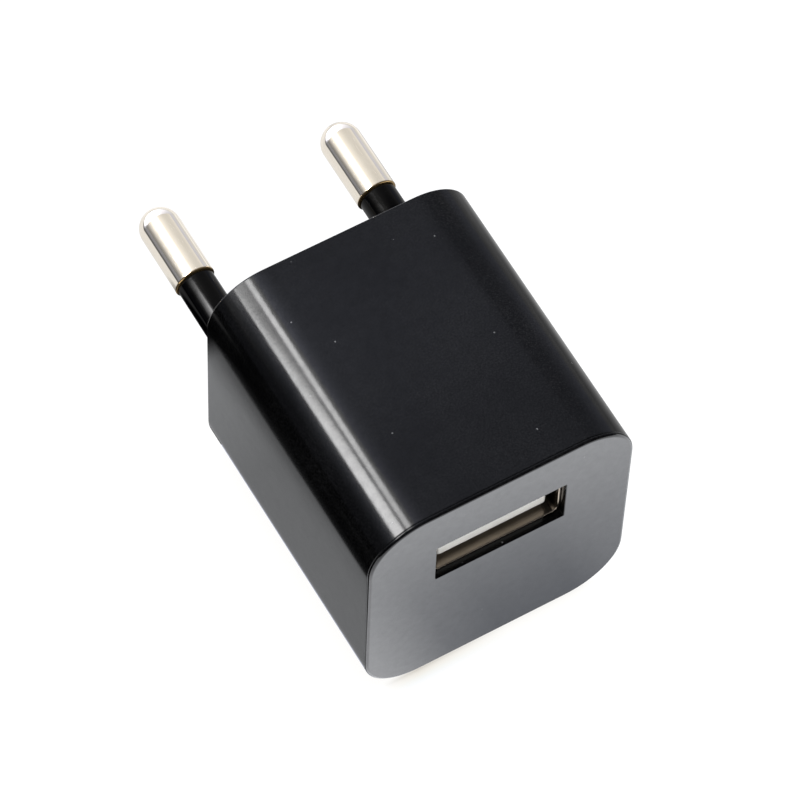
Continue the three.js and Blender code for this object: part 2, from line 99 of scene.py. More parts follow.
SLEEVE_SHORTER = 0.25 * MM
PIN_SHORTER = 0.40 * MM
SLEEVE_RADIUS = 1.82 * MM
SLEEVE_END = sleeves["left"][1].y - SLEEVE_SHORTER
BARE_FROM = SLEEVE_END + LOOSE
PIN_TIP = pins["left"][1].y - PIN_SHORTER


# ---- Mesh helpers -----------------------------------------------------------------------------

SAME_POINT = 1e-7
CREASE = math.radians(35)
BARREL_SIDES = 48
LEAD_SIDES = 16
HOLE_SIDES = 24


def ease(t):
    """Goes smoothly from 0 to 1 as t does."""
    t = min(max(t, 0.0), 1.0)
    return t * t * (3 - 2 * t)


def corner_curve(radius, softness, steps):
    """A quarter turn as (along the first side, along the second side, turn), from the corner point.

    Its curvature grows and fades over the given share of its length at each end, and it cuts the corner
    as deeply as a plain arc of that radius does.
    """
    fine = 40 * steps
    share = [(i + 0.5) / fine for i in range(fine)]
    bend = [ease(min(s, 1 - s) / softness) if softness else 1.0 for s in share]
    total = sum(bend)
    x = y = turn = 0.0
    path = [(x, y, turn)]
    for b in bend:
        step = math.pi / 2 * b / total
        x += math.cos(turn + step / 2)
        y += math.sin(turn + step / 2)
        turn += step
        path.append((x, y, turn))
    end = x
    middle = path[fine // 2]
    scale = (math.sqrt(2) - 1) * radius / math.hypot(end - middle[0], middle[1])
    picked = [path[i * fine // steps] for i in range(steps + 1)]
    return [((end - px) * scale, py * scale, t) for px, py, t in picked]


def outline(width, height, radius, steps=8, softness=0.0):
    """A rectangle with rounded corners, as (x, z, outward x, outward z) anticlockwise round its middle."""
    points = []
    headings = [((1, 1), (0, 1), (-1, 0)), ((-1, 1), (-1, 0), (0, -1)),
                ((-1, -1), (0, -1), (1, 0)), ((1, -1), (1, 0), (0, 1))]
    curve = corner_curve(radius, softness, steps)
    for (sx, sz), (fx, fz), (lx, lz) in headings:
        cx, cz = sx * width / 2, sz * height / 2
        for back, side, turn in curve:
            x = cx - fx * back + lx * side
            z = cz - fz * back + lz * side
            out_x = -lx * math.cos(turn) + fx * math.sin(turn)
            out_z = -lz * math.cos(turn) + fz * math.sin(turn)
            points.append((x, z, out_x, out_z))
    return points


def inset(shape, by):
    """The points of an outline moved inwards."""
    return [(px - nx * by, pz - nz * by) for px, pz, nx, nz in shape]


AXES = {
    "X": lambda a, b, along: (along, a, b),
    "Y": lambda a, b, along: (a, along, b),
    "Z": lambda a, b, along: (a, b, along),
}


def placed(bm, axis, points, along, centre=(0, 0, 0)):
    """The vertices of a flat loop of points across an axis, at one place along it."""
    return [bm.verts.new(Vector(AXES[axis](a, b, along)) + Vector(centre)) for a, b in points]


def round_points(radius, sides):
    """The points of a circle."""
    turns = [2 * math.pi * i / sides for i in range(sides)]
    return [(radius * math.cos(t), radius * math.sin(t)) for t in turns]


def skin(bm, rings, closed=False):
    """Joins each ring of vertices to the next with quads, and the last to the first if closed."""
    pairs = list(zip(rings, rings[1:]))
    if closed:
        pairs.append((rings[-1], rings[0]))
    for a, b in pairs:
        for i in range(len(a)):
            bm.faces.new((a[i - 1], a[i], b[i], b[i - 1]))


def capped(bm, rings):
    """A skin with a flat face on each end."""
    skin(bm, rings)
    bm.faces.new(rings[0])
    bm.faces.new(rings[-1])


def lofted(bm, axis, centre, rows):
    """The loops of vertices of rows of (outline, inset, along), to be skinned."""
    return [placed(bm, axis, inset(shape, by), along, centre) for shape, by, along in rows]


def flat_fill(bm, *loops):
    """Fills the flat area between closed loops of vertices."""
    edges = []
    for loop in loops:
        for i in range(len(loop)):
            pair = (loop[i - 1], loop[i])
            edges.append(bm.edges.get(pair) or bm.edges.new(pair))
    bmesh.ops.triangle_fill(bm, use_beauty=True, use_dissolve=False, edges=edges)


def fillet(radius, steps):
    """(sine, cosine) steps of a quarter circle times its radius, for rounding an edge."""
    turns = [math.pi / 2 * i / steps for i in range(steps + 1)]
    return [(radius * math.sin(t), radius * math.cos(t)) for t in turns]


def turned(bm, profile, centre, axis="Y", sides=64):
    """Turns a profile of (radius, along) points about an axis through centre. It is closed at radius 0."""
    rings = []
    for radius, along in profile:
        points = round_points(radius, sides) if radius > 0 else [(0, 0)]
        rings.append(placed(bm, axis, points, along, centre))
    for a, b in zip(rings, rings[1:]):
        for i in range(sides):
            corners = (a[(i - 1) % len(a)], a[i % len(a)], b[i % len(b)], b[(i - 1) % len(b)])
            bm.faces.new(list(dict.fromkeys(corners)))


def rounded_path(points, radius, steps=5):
    """Rounds the bends of a line of 2D or 3D points."""
    points = [Vector(p) for p in points]
    path = [points[0]]
    for before, bend, after in zip(points, points[1:], points[2:]):
        into, out = (before - bend).normalized(), (after - bend).normalized()
        half = into.angle(out) / 2
        reach = min(radius / math.tan(half), (before - bend).length / 2.1, (after - bend).length / 2.1)
        start, end = bend + into * reach, bend + out * reach
        for i in range(steps + 1):
            t = i / steps
            path.append(start * (1 - t) ** 2 + bend * 2 * t * (1 - t) + end * t ** 2)
    path.append(points[-1])
    return path


def directions(path):
    """Each point of a path with the direction of the path there."""
    last = len(path) - 1
    return [(path[i], (path[min(i + 1, last)] - path[max(i - 1, 0)]).normalized()) for i in range(last + 1)]


def strip(bm, line, width, sheet, x, bend, edge):
    """A strip of sheet metal that follows a line of (y, z) points, with rounded bends and edges."""
    shape = inset(outline(width, sheet, edge, 2), 0)
    across = Vector((1, 0, 0))
    rings = []
    for point, along in directions([Vector((x, *p)) for p in rounded_path(line, bend)]):
        through = across.cross(along)
        rings.append([bm.verts.new(point + across * a + through * t) for a, t in shape])
    capped(bm, rings)


def wire(bm, points, radius, bend, sides=12):
    """A round wire along a line of 3D points, with rounded bends and flat ends."""
    path = directions(rounded_path(points, bend))
    along = (path[1][0] - path[0][0]).normalized()
    side = along.orthogonal().normalized()
    rings = []
    for point, new in path:
        side = (along.rotation_difference(new) @ side).normalized()
        along = new
        up = along.cross(side)
        rings.append([bm.verts.new(point + side * a + up * b) for a, b in round_points(radius, sides)])
    capped(bm, rings)


def box_mesh(bm, corner, opposite, edge=0.0, segments=2):
    """A block between two opposite corners, with its edges rounded."""
    made = bmesh.ops.create_cube(bm, size=1.0)
    size = Vector([abs(b - a) for a, b in zip(corner, opposite)])
    middle = (Vector(opposite) + Vector(corner)) / 2
    for v in made["verts"]:
        v.co = v.co * size + middle
    if edge:
        edges = list({e for v in made["verts"] for e in v.link_edges})
        bmesh.ops.bevel(bm, geom=edges, offset=edge, segments=segments, profile=0.5, affect="EDGES")


def prism(bm, axis, points, low, high, edge, centre):
    """A solid with a given outline across an axis, with its sharp edges rounded."""
    ends = [placed(bm, axis, points, at, centre) for at in (low, high)]
    capped(bm, ends)
    faces = list({f for end in ends for v in end for f in v.link_faces})
    bmesh.ops.recalc_face_normals(bm, faces=faces)
    sharp = [e for e in {e for f in faces for e in f.edges} if e.calc_face_angle() > CREASE]
    sharp.sort(key=lambda e: tuple(e.verts[0].co) + tuple(e.verts[1].co))
    bmesh.ops.bevel(bm, geom=sharp, offset=edge, segments=2, profile=0.5, affect="EDGES", clamp_overlap=True)


def welded(bm):
    """Merges the points of a mesh that lie in one place."""
    bmesh.ops.remove_doubles(bm, verts=bm.verts, dist=SAME_POINT)


def mesh_of(name, bm):
    """A mesh made from a bmesh, with its faces turned outwards."""
    bmesh.ops.recalc_face_normals(bm, faces=bm.faces)
    mesh = bpy.data.meshes.new(name)
    bm.to_mesh(mesh)
    bm.free()
    return mesh


def added(name, mesh):
    """A new object in the scene."""
    made = bpy.data.objects.new(name, mesh)
    bpy.context.scene.collection.objects.link(made)
    return made


def joined(bm, other):
    """Adds another mesh to this one."""
    mesh = mesh_of("joining", other)
    bm.from_mesh(mesh)
    bpy.data.meshes.remove(mesh)


def cut_away(bm, cutter):
    """A closed mesh less another closed mesh, as a new bmesh."""
    whole, tool = [added("cutting", mesh_of("cutting", solid)) for solid in (bm, cutter)]
    cut = whole.modifiers.new("cut", "BOOLEAN")
    cut.operation = "DIFFERENCE"
    cut.solver = "EXACT"
    cut.object = tool
    result = bmesh.new()
    result.from_object(whole, bpy.context.evaluated_depsgraph_get())
    for each in (whole, tool):
        mesh = each.data
        bpy.data.objects.remove(each)
        bpy.data.meshes.remove(mesh)
    return result


def finished(bm, name, finish, *replaced, body="charger", slot=None):
    """Turns a bmesh into a smooth-shaded piece with crisp creases, riding on a body."""
    mesh = mesh_of(name, bm)
    mesh.shade_smooth()
    mesh.set_sharp_from_angle(angle=CREASE)
    piece = added(name, mesh)
    piece.data.materials.append(finish.material)
    even = piece.modifiers.new("even_normals", "WEIGHTED_NORMAL")
    even.keep_sharp = True
    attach(piece, body)
    if replaced:
        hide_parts(*replaced)
    return piece


# ---- Materials --------------------------------------------------------------------------------

WHITE = (1.0, 1.0, 1.0)


class Nodes:
    """A node tree that is being built. Lengths are in metres."""

    def __init__(self, tree):
        self.tree = tree

    def node(self, kind, **settings):
        made = self.tree.nodes.new(kind)
        for key, value in settings.items():
            setattr(made, key, value)
        return made

    def link(self, source, target):
        self.tree.links.new(source, target)

    def ramp(self, value, stops):
        """Maps a value onto (position, colour) stops."""
        made = self.node("ShaderNodeValToRGB")
        elements = made.color_ramp.elements
        while len(elements) < len(stops):
            elements.new(0.5)
        for element, (position, colour) in zip(elements, stops):
            element.position = position
            element.color = (*colour, 1.0)
        self.link(value, made.inputs["Fac"])
        return made.outputs["Color"]

    def span(self, value, low, high, start=0.0, end=1.0):
        """Maps a value from start..end onto low..high."""
        made = self.node("ShaderNodeMapRange")
        for socket, number in (("From Min", start), ("From Max", end), ("To Min", low), ("To Max", high)):
            made.inputs[socket].default_value = number
        self.link(value, made.inputs["Value"])
        return made.outputs["Result"]

    def graph(self, value, stops, top=1.0, colour=WHITE):
        """Maps a value onto (value, strength) stops. The colour it gives is a share of the top strength."""
        start, end = stops[0][0], stops[-1][0]
        shares = [((at - start) / (end - start), tuple(c * strength / top for c in colour))
                  for at, strength in stops]
        return self.ramp(self.span(value, 0.0, 1.0, start, end), shares)

    def mix(self, amount, a, b, kind="MIX"):
        """Mixes two colours by an amount, which is a number or a value."""
        made = self.node("ShaderNodeMix", data_type="RGBA", blend_type=kind)
        if isinstance(amount, float):
            made.inputs["Factor"].default_value = amount
        else:
            self.link(amount, made.inputs["Factor"])
        self.link(a, made.inputs[6])
        self.link(b, made.inputs[7])
        return made.outputs[2]

    def product(self, a, b):
        return self.mix(1.0, a, b, "MULTIPLY")

    def along(self, direction):
        """How far each place lies along a direction."""
        dot = self.node("ShaderNodeVectorMath", operation="DOT_PRODUCT")
        dot.inputs[1].default_value = direction
        self.link(self.place, dot.inputs[0])
        return dot.outputs["Value"]


class Finish(Nodes):
    """A material whose colour, roughness and surface come from nodes, for one of the record's slots."""

    def __init__(self, name, slot=None):
        self.material = bpy.data.materials.new(name)
        self.material.use_nodes = True
        super().__init__(self.material.node_tree)
        self.slot = slot
        self.shader = self.tree.nodes["Principled BSDF"]
        self.place = self.node("ShaderNodeTexCoord").outputs["Object"]
        self.bumps = None

    def set(self, **values):
        for key, value in values.items():
            self.shader.inputs[key.replace("_", " ")].default_value = value

    def noise(self, scale, detail=3.0, rough=0.55, stretch=None):
        """A cloudy value from 0 to 1. Scale is in divisions per metre, times stretch along each axis."""
        made = self.node("ShaderNodeTexNoise")
        made.inputs["Detail"].default_value = detail
        made.inputs["Roughness"].default_value = rough
        made.inputs["Scale"].default_value = 1.0 if stretch else scale
        place = self.place
        if stretch:
            mapping = self.node("ShaderNodeMapping")
            mapping.inputs["Scale"].default_value = [s * scale for s in stretch]
            self.link(place, mapping.inputs["Vector"])
            place = mapping.outputs["Vector"]
        self.link(place, made.inputs["Vector"])
        return made.outputs["Fac"]

    def cells(self, scale):
        """The distance to scattered points. Scale is in divisions per metre."""
        made = self.node("ShaderNodeTexVoronoi")
        made.inputs["Scale"].default_value = scale
        self.link(self.place, made.inputs["Vector"])
        return made.outputs["Distance"]

    def split(self):
        """The place as its X, Y and Z."""
        made = self.node("ShaderNodeSeparateXYZ")
        self.link(self.place, made.inputs["Vector"])
        return made.outputs

    def math(self, operation, a, b=None):
        made = self.node("ShaderNodeMath", operation=operation)
        self.link(a, made.inputs[0])
        if b:
            self.link(b, made.inputs[1])
        return made.outputs["Value"]

    def cloud(self, scale, dark, light, detail=4.0):
        """A soft change between two colours."""
        return self.ramp(self.noise(scale, detail), [(0.3, dark), (0.7, light)])

    def bump(self, height, distance):
        """Adds a bump whose full height is the given distance."""
        made = self.node("ShaderNodeBump")
        made.inputs["Strength"].default_value = 1.0
        made.inputs["Distance"].default_value = distance
        self.link(height, made.inputs["Height"])
        if self.bumps:
            self.link(self.bumps, made.inputs["Normal"])
        self.bumps = made.outputs["Normal"]
        self.link(self.bumps, self.shader.inputs["Normal"])

    def colour(self, output):
        self.link(output, self.shader.inputs["Base Color"])

    def roughness(self, value, smooth, rough):
        """Maps a cloudy value onto a range of roughness."""
        self.link(self.span(value, smooth, rough, 0.3, 0.7), self.shader.inputs["Roughness"])


def grey(value):
    return (value, value, value)


def casing_plastic():
    """Glossy black moulded plastic with a slight orange peel, dust specks and fine scuffs."""
    f = Finish("casing_plastic", "casing")
    f.set(IOR=1.3)
    black = f.cloud(180.0, (0.0002, 0.0002, 0.0003), (0.0005, 0.0005, 0.0006))
    dust = f.ramp(f.noise(400.0), [(0.36, grey(0.004)), (0.60, grey(0.075))])
    grain = f.ramp(f.noise(6500.0, detail=2.0), [(0.40, grey(0.0004)), (0.75, grey(0.007))])
    mottled = f.mix(f.span(f.noise(90.0, detail=4.0), 0.2, 0.9, 0.35, 0.65), black, grain)
    speck = f.span(f.cells(420.0), 1.0, 0.0, 0.024, 0.042)
    f.colour(f.mix(speck, mottled, dust))
    f.roughness(f.noise(420.0, detail=5.0, rough=0.6, stretch=(1.0, 0.35, 1.0)), 0.11, 0.16)
    worn = f.noise(1100.0, detail=8.0, rough=0.75)
    f.link(f.span(worn, 0.43, 0.57, 0.3, 0.7), f.shader.inputs["Specular IOR Level"])
    f.bump(f.noise(700.0, detail=2.0), 0.8e-6)
    f.bump(f.noise(4500.0), 2.2e-6)
    return f


def sleeve_plastic():
    """Smoother black plastic, with faint rings from its mould."""
    f = Finish("sleeve_plastic", "pin_sleeve")
    f.set(IOR=1.2)
    f.colour(f.cloud(300.0, (0.0003, 0.0003, 0.0004), (0.0005, 0.0005, 0.0007), detail=3.0))
    f.roughness(f.noise(500.0, stretch=(0.3, 2.0, 0.3)), 0.07, 0.12)
    f.bump(f.noise(700.0, stretch=(0.3, 2.0, 0.3)), 0.3e-6)
    return f


def plain_metal(name, slot, shine, rough, grain, stretch, height):
    """A metal with a fine grain, whose colour is still to be given."""
    f = Finish(name, slot)
    f.set(Metallic=shine)
    lines = f.noise(grain, detail=4.0, stretch=stretch)
    f.roughness(lines, *rough)
    f.bump(lines, height)
    return f


def metal(name, slot, dark, light, rough, grain=900.0, stretch=(1.0, 1.0, 1.0)):
    """A metal with a soft change of colour."""
    f = plain_metal(name, slot, 1.0, rough, grain, stretch, 0.1e-6)
    f.colour(f.cloud(260.0, dark, light))
    return f


def plated_metal():
    """Nickel plating, worn to the brass below it at the edge next to the sleeve."""
    f = plain_metal("nickel_plating", "pin_metal", 0.9, (0.04, 0.08), 500.0, (1, 4, 1), 0.4e-6)
    plating = f.cloud(260.0, (0.87, 0.80, 0.69), (0.93, 0.865, 0.76))
    brass = f.cloud(900.0, (0.30, 0.20, 0.09), (0.42, 0.29, 0.13), detail=3.0)
    worn_until, whole_from = BARE_FROM + 0.08 * MM, BARE_FROM + 0.20 * MM
    worn = f.span(f.split()["Y"], 1.0, 0.0, worn_until, whole_from)
    f.colour(f.mix(worn, plating, brass))
    return f


def port_metal():
    """Dull bright steel, with painted shade near the side walls of the port, darkening from a little way
    inside its opening.
    """
    f = plain_metal("bright_steel", "port_steel", 0.95, (0.14, 0.22), 900.0, (4, 0.3, 4), 0.1e-6)
    bright = f.cloud(260.0, (0.20, 0.17, 0.13), (0.29, 0.24, 0.19))
    # Painted shade: a near-black colour that the steel takes near its side walls, from a little way inside
    # the opening, where less light reaches.
    painted_shade = f.cloud(900.0, (0.018, 0.015, 0.012), (0.032, 0.026, 0.020), detail=3.0)
    place = f.split()
    side, shade_starts_at, shade_full_at = PORT_WIDTH / 2, FRONT + 1.0 * MM, FRONT + 1.4 * MM
    wall = f.span(f.math("ABSOLUTE", place["X"]), 0.0, 1.0, side - 0.75 * MM, side - 0.15 * MM)
    inside = f.span(place["Y"], 0.0, 1.0, shade_starts_at, shade_full_at)
    f.colour(f.mix(f.math("MULTIPLY", wall, inside), bright, painted_shade))
    return f


def painted(name, slot, dark, light, rough, grain=2500.0):
    """A plain moulded or coated surface with a slight change of colour and a fine grain."""
    f = Finish(name, slot)
    f.colour(f.cloud(400.0, dark, light))
    f.roughness(f.noise(grain), *rough)
    f.bump(f.noise(grain, detail=2.0), 3e-6)
    return f


casing = casing_plastic()
sleeve = sleeve_plastic()
nickel = plated_metal()
steel = port_metal()
gold = metal("contact_gold", "contact_brass", (0.80, 0.56, 0.24), (0.90, 0.68, 0.34), (0.22, 0.34),
             stretch=(4, 0.3, 4))
tin = metal("tinned_lead", "lead_metal", (0.62, 0.62, 0.60), (0.74, 0.74, 0.72), (0.25, 0.40))
copper = metal("copper_wire", "copper_wire", (0.62, 0.26, 0.12), (0.78, 0.36, 0.18), (0.22, 0.36))
aluminium = metal("aluminium", "lead_metal", (0.66, 0.67, 0.68), (0.76, 0.77, 0.78), (0.22, 0.34), 1200.0)
white_plastic = painted(
    "white_plastic", "port_insulator", (0.76, 0.74, 0.68), (0.84, 0.82, 0.76), (0.35, 0.5))
board_green = painted("board_green", "board", (0.02, 0.11, 0.04), (0.03, 0.16, 0.06), (0.25, 0.4))
track_green = painted("track_green", "board", (0.04, 0.20, 0.07), (0.06, 0.26, 0.09), (0.22, 0.35))
ferrite = painted("ferrite", "ferrite", (0.018, 0.018, 0.019), (0.035, 0.035, 0.037), (0.55, 0.8), 5000.0)
bobbin_plastic = painted("bobbin_plastic", "bobbin", grey(0.010), grey(0.018), (0.4, 0.55))
tape = painted("tape", "tape", (0.62, 0.42, 0.05), (0.74, 0.52, 0.08), (0.25, 0.4))
can_sleeve = painted(
    "capacitor_sleeve", "capacitor_sleeve", (0.010, 0.018, 0.07), (0.016, 0.028, 0.10), (0.2, 0.32))
ceramic_blue = painted("ceramic_blue", "ceramic_coat", (0.02, 0.09, 0.34), (0.04, 0.14, 0.44), (0.35, 0.5))
resistor_green = painted(
    "resistor_green", "resistor_coat", (0.14, 0.27, 0.16), (0.20, 0.34, 0.22), (0.5, 0.65))
band_brown = painted("band_brown", "resistor_coat", (0.12, 0.05, 0.02), (0.16, 0.07, 0.03), (0.35, 0.5))
band_dark = painted("band_dark", "resistor_coat", (0.015, 0.015, 0.016), (0.025, 0.025, 0.026), (0.35, 0.5))
band_silver = painted("band_silver", "chip_epoxy", (0.55, 0.56, 0.57), (0.66, 0.67, 0.68), (0.35, 0.5))
chip_tan = painted("chip_tan", "chip_ceramic", (0.36, 0.25, 0.15), (0.45, 0.32, 0.20), (0.35, 0.5))
epoxy = painted("chip_epoxy", "chip_epoxy", grey(0.012), grey(0.022), (0.45, 0.6), 9000.0)


# ---- Casing -----------------------------------------------------------------------------------

CASING_STEPS = 40
body_shape = outline(BODY_WIDTH, BODY_HEIGHT, CORNER_RADIUS, CASING_STEPS, CORNER_EASE)
SHADE_RING = 0.04 * MM
MOUTH = SEAM + 0.04 * MM
MOUTH_LIP = 0.05 * MM
REAR_INSIDE = REAR - REAR_WALL


def casing_rings(bm, rows):
    """The skinned loops of rows of (inset, y) round the casing."""
    rings = lofted(bm, "Y", (0, 0, 0), [(body_shape, by, y) for by, y in rows])
    skin(bm, rings)
    return rings


def pin_tunnel(bm, centre):
    """A chamfered hole through the rear wall, as its loops from the rear face inwards."""
    hole, chamfer = SLEEVE_RADIUS + SNUG, 0.12 * MM
    rows = [(hole + chamfer, REAR), (hole, REAR - chamfer), (hole, REAR_INSIDE)]
    axis = (centre.x, 0, centre.z)
    tunnel = [placed(bm, "Y", round_points(radius, BARREL_SIDES), y, axis) for radius, y in rows]
    skin(bm, tunnel)
    return tunnel


def main_shell():
    bm = bmesh.new()
    lip_end = MOUTH + MOUTH_LIP
    rows = [(WALL, REAR_INSIDE), (WALL, REAR_INSIDE - SHADE_RING), (WALL, lip_end), (WALL - MOUTH_LIP, MOUTH)]
    rows += [(MOUTH_LIP - s, lip_end - c) for s, c in fillet(MOUTH_LIP, 3)]
    rows += [(0.0, lip_end + SHADE_RING), (0.0, REAR - REAR_FILLET - SHADE_RING)]
    rows += [(REAR_FILLET - c, REAR - REAR_FILLET + s) for s, c in fillet(REAR_FILLET, 6)]
    rows.append((REAR_FILLET + SHADE_RING, REAR))
    rings = casing_rings(bm, rows)
    tunnels = [pin_tunnel(bm, centre) for _, _, centre in pins.values()]
    flat_fill(bm, rings[-1], *[tunnel[0] for tunnel in tunnels])
    flat_fill(bm, rings[0], *[tunnel[-1] for tunnel in tunnels])
    board_rails(bm)
    return finished(bm, "shell", casing, "main_shell")


def board_rails(bm):
    """Two ribs on each side wall hold the edges of the board."""
    reach, thickness = 1.0 * MM, 1.0 * MM
    inner, outer = SIDE - WALL - reach, SIDE - WALL / 2
    start, end = board_low.y + 0.8 * MM, REAR_INSIDE + LOOSE
    for side in SIDES:
        for z in (board_low.z - LOOSE - thickness, board_high.z + LOOSE):
            box_mesh(bm, (side * inner, start, z), (side * outer, end, z + thickness), 0.15 * MM)


CUTOUT_WIDTH = 13.1 * MM
CUTOUT_HEIGHT = 5.5 * MM
CAP_LIP = 0.7 * MM
CAP_PLATE = 1.5 * MM
SKIRT_WALL = 0.9 * MM


def port_cutout(bm):
    """The opening in the cap, with a wider pocket behind its lip, as its loops from the front inwards."""
    ease_edge = 0.05 * MM
    room = 2 * PORT_SHEET + 4 * LOOSE
    slot = outline(CUTOUT_WIDTH, CUTOUT_HEIGHT, 0.12 * MM, 3)
    pocket = outline(PORT_WIDTH + room, PORT_HEIGHT + room, 0.2 * MM, 3)
    loops = lofted(bm, "Y", (0, 0, PORT_MIDDLE), [
        (slot, -ease_edge, FRONT), (slot, 0.0, FRONT + ease_edge), (slot, 0.0, FRONT + CAP_LIP),
        (pocket, 0.0, FRONT + CAP_LIP), (pocket, 0.0, FRONT + CAP_PLATE)])
    skin(bm, loops)
    return loops


def front_cap():
    bm = bmesh.new()
    edge, back_edge = SEAM - FRONT - 0.08 * MM, 0.04 * MM
    plug, end = WALL + LOOSE, cap_high.y
    rows = [(edge + SHADE_RING, FRONT)]
    rows += [(edge - s, FRONT + edge - c) for s, c in fillet(edge, 5)]
    rows += [(back_edge - c, SEAM - back_edge + s) for s, c in fillet(back_edge, 4)]
    rows += [(plug, SEAM), (plug, end - 0.3 * MM), (plug + 0.2 * MM, end)]
    rows += [(plug + SKIRT_WALL, end), (plug + SKIRT_WALL, FRONT + CAP_PLATE)]
    rings = casing_rings(bm, rows)
    cutout = port_cutout(bm)
    flat_fill(bm, rings[0], cutout[0])
    flat_fill(bm, rings[-1], cutout[-1])
    return finished(bm, "cap", casing, "front_cap")


main_shell()
front_cap()


# ---- Pins and sleeves -------------------------------------------------------------------------

PIN_RADIUS = (pins["left"][1].x - pins["left"][0].x) / 2
PIN_CORE = 1.2 * MM
PIN_SIDES = 96


def pin(word):
    low, _, centre = pins[word]
    head, chamfer, head_end = 1.9 * MM, 0.1 * MM, low.y + 1.0 * MM
    rim = 0.12 * MM
    profile = [(0, low.y), (head - chamfer, low.y), (head, low.y + chamfer), (head, head_end)]
    profile += [(PIN_CORE, head_end), (PIN_CORE, BARE_FROM), (PIN_RADIUS - rim - SHADE_RING, BARE_FROM)]
    profile += [(PIN_RADIUS - rim + s, BARE_FROM + rim - c) for s, c in fillet(rim, 5)]
    profile.append((PIN_RADIUS, BARE_FROM + rim + SHADE_RING))
    profile += [(c, PIN_TIP - PIN_RADIUS + s) for s, c in fillet(PIN_RADIUS, 14)][:-1]
    profile.append((0, PIN_TIP))
    bm = bmesh.new()
    turned(bm, profile, (centre.x, 0, centre.z), sides=PIN_SIDES)
    return finished(bm, f"pin_metal_{word}", nickel, f"pin_{word}")


def pin_sleeve(word):
    low, high, centre = sleeves[word]
    bore, edge = PIN_CORE + SNUG, 0.12 * MM
    collar = (high.x - low.x) / 2
    profile = [(bore, low.y), (collar, low.y), (collar, REAR_INSIDE), (SLEEVE_RADIUS, REAR_INSIDE)]
    profile.append((SLEEVE_RADIUS, SLEEVE_END - edge - SHADE_RING))
    profile += [(SLEEVE_RADIUS - edge + c, SLEEVE_END - edge + s) for s, c in fillet(edge, 4)]
    profile += [(bore, SLEEVE_END), (bore, low.y)]
    bm = bmesh.new()
    turned(bm, profile, (centre.x, 0, centre.z), sides=PIN_SIDES)
    welded(bm)
    return finished(bm, f"sleeve_{word}", sleeve, f"pin_sleeve_{word}")


for word in pins:
    pin(word)
    pin_sleeve(word)


# ---- USB port ---------------------------------------------------------------------------------

LEAD_END = board_high.z + 0.8 * MM
PORT_FRONT = port_low.y
PORT_REAR = port_high.y
FINGER_WIDTH = 1.6 * MM
FINGER_GAP = 0.4 * MM
FINGER_PLACES = (-3.2 * MM, 3.2 * MM)
FINGER_ROOT = PORT_FRONT + 6.6 * MM
FINGER_BEND = PORT_FRONT + 2.8 * MM
FINGER_TIP = PORT_FRONT + 1.9 * MM
FINGER_LIFT = 0.35 * MM
FINGER_TIP_LIFT = 0.14 * MM
LEG_FRONT = PORT_FRONT + 5.3 * MM
LEG_WIDTH = 1.8 * MM


def port_tube():
    """The rectangular tube of the port, with its front edge rolled round."""
    bm = bmesh.new()
    edge = 0.09 * MM
    outer = outline(PORT_WIDTH + 2 * PORT_SHEET, PORT_HEIGHT + 2 * PORT_SHEET, 0.8 * MM, 8)
    rows = [(PORT_SHEET, PORT_REAR), (PORT_SHEET, PORT_FRONT + edge)]
    rows += [(PORT_SHEET - edge + c, PORT_FRONT + edge - s) for s, c in fillet(edge, 3)]
    rows += [(edge - s, PORT_FRONT + edge - c) for s, c in fillet(edge, 3)]
    rows.append((0.0, PORT_REAR))
    skin(bm, lofted(bm, "Y", (0, 0, PORT_MIDDLE), [(outer, by, y) for by, y in rows]), closed=True)
    welded(bm)
    return bm


def usb_shell():
    windows = bmesh.new()
    fingers = bmesh.new()
    half = FINGER_WIDTH / 2 + FINGER_GAP
    for side in SIDES:
        sheet = PORT_MIDDLE + side * (PORT_HEIGHT + PORT_SHEET) / 2
        for x in FINGER_PLACES:
            box_mesh(windows, (x - half, FINGER_TIP - FINGER_GAP, sheet - PORT_SHEET),
                     (x + half, FINGER_ROOT - PORT_SHEET, sheet + PORT_SHEET), 0.25 * MM)
            line = [(FINGER_ROOT, sheet), (FINGER_BEND, sheet - side * FINGER_LIFT),
                    (FINGER_TIP, sheet - side * FINGER_TIP_LIFT)]
            strip(fingers, line, FINGER_WIDTH, PORT_SHEET, x, 0.8 * MM, 0.08 * MM)
        box_mesh(fingers, (side * PORT_WIDTH / 2, LEG_FRONT, PORT_MIDDLE),
                 (side * (PORT_WIDTH / 2 + PORT_SHEET), LEG_FRONT + LEG_WIDTH, LEAD_END), 0.1 * MM)
    bm = cut_away(port_tube(), windows)
    joined(bm, fingers)
    return finished(bm, "port_shell", steel, "usb_shell")


TONGUE_WIDTH = 11.1 * MM
TONGUE_LOW = PORT_MIDDLE - 1.88 * MM
TONGUE_HIGH = PORT_MIDDLE - 0.04 * MM
TONGUE_FRONT = insulator_low.y
TONGUE_ROOT = PORT_REAR - 3.95 * MM
CONTACT_PLACES = [x * MM for x in (-3.5, -1.0, 1.0, 3.5)]
CONTACT_WIDTH = 1.0 * MM
CONTACT_SHEET = 0.25 * MM
CONTACT_EDGE = 0.06 * MM
CONTACT_LEVEL = TONGUE_HIGH - 0.31 * MM
CONTACT_BEHIND = PORT_REAR + 0.25 * MM
GROOVE_WIDTH = CONTACT_WIDTH + 2 * LOOSE
GROOVE_DEPTH = 0.9 * MM
FLEXURE = TONGUE_ROOT - 0.35 * MM
CLEAR = 1.0 * MM


def contact_cuts(front, rear, low, high, edge=0.0):
    """A cutter as wide as a groove at each contact."""
    cuts = bmesh.new()
    for x in CONTACT_PLACES:
        box_mesh(cuts, (x - GROOVE_WIDTH / 2, front, low), (x + GROOVE_WIDTH / 2, rear, high), edge)
    return cuts


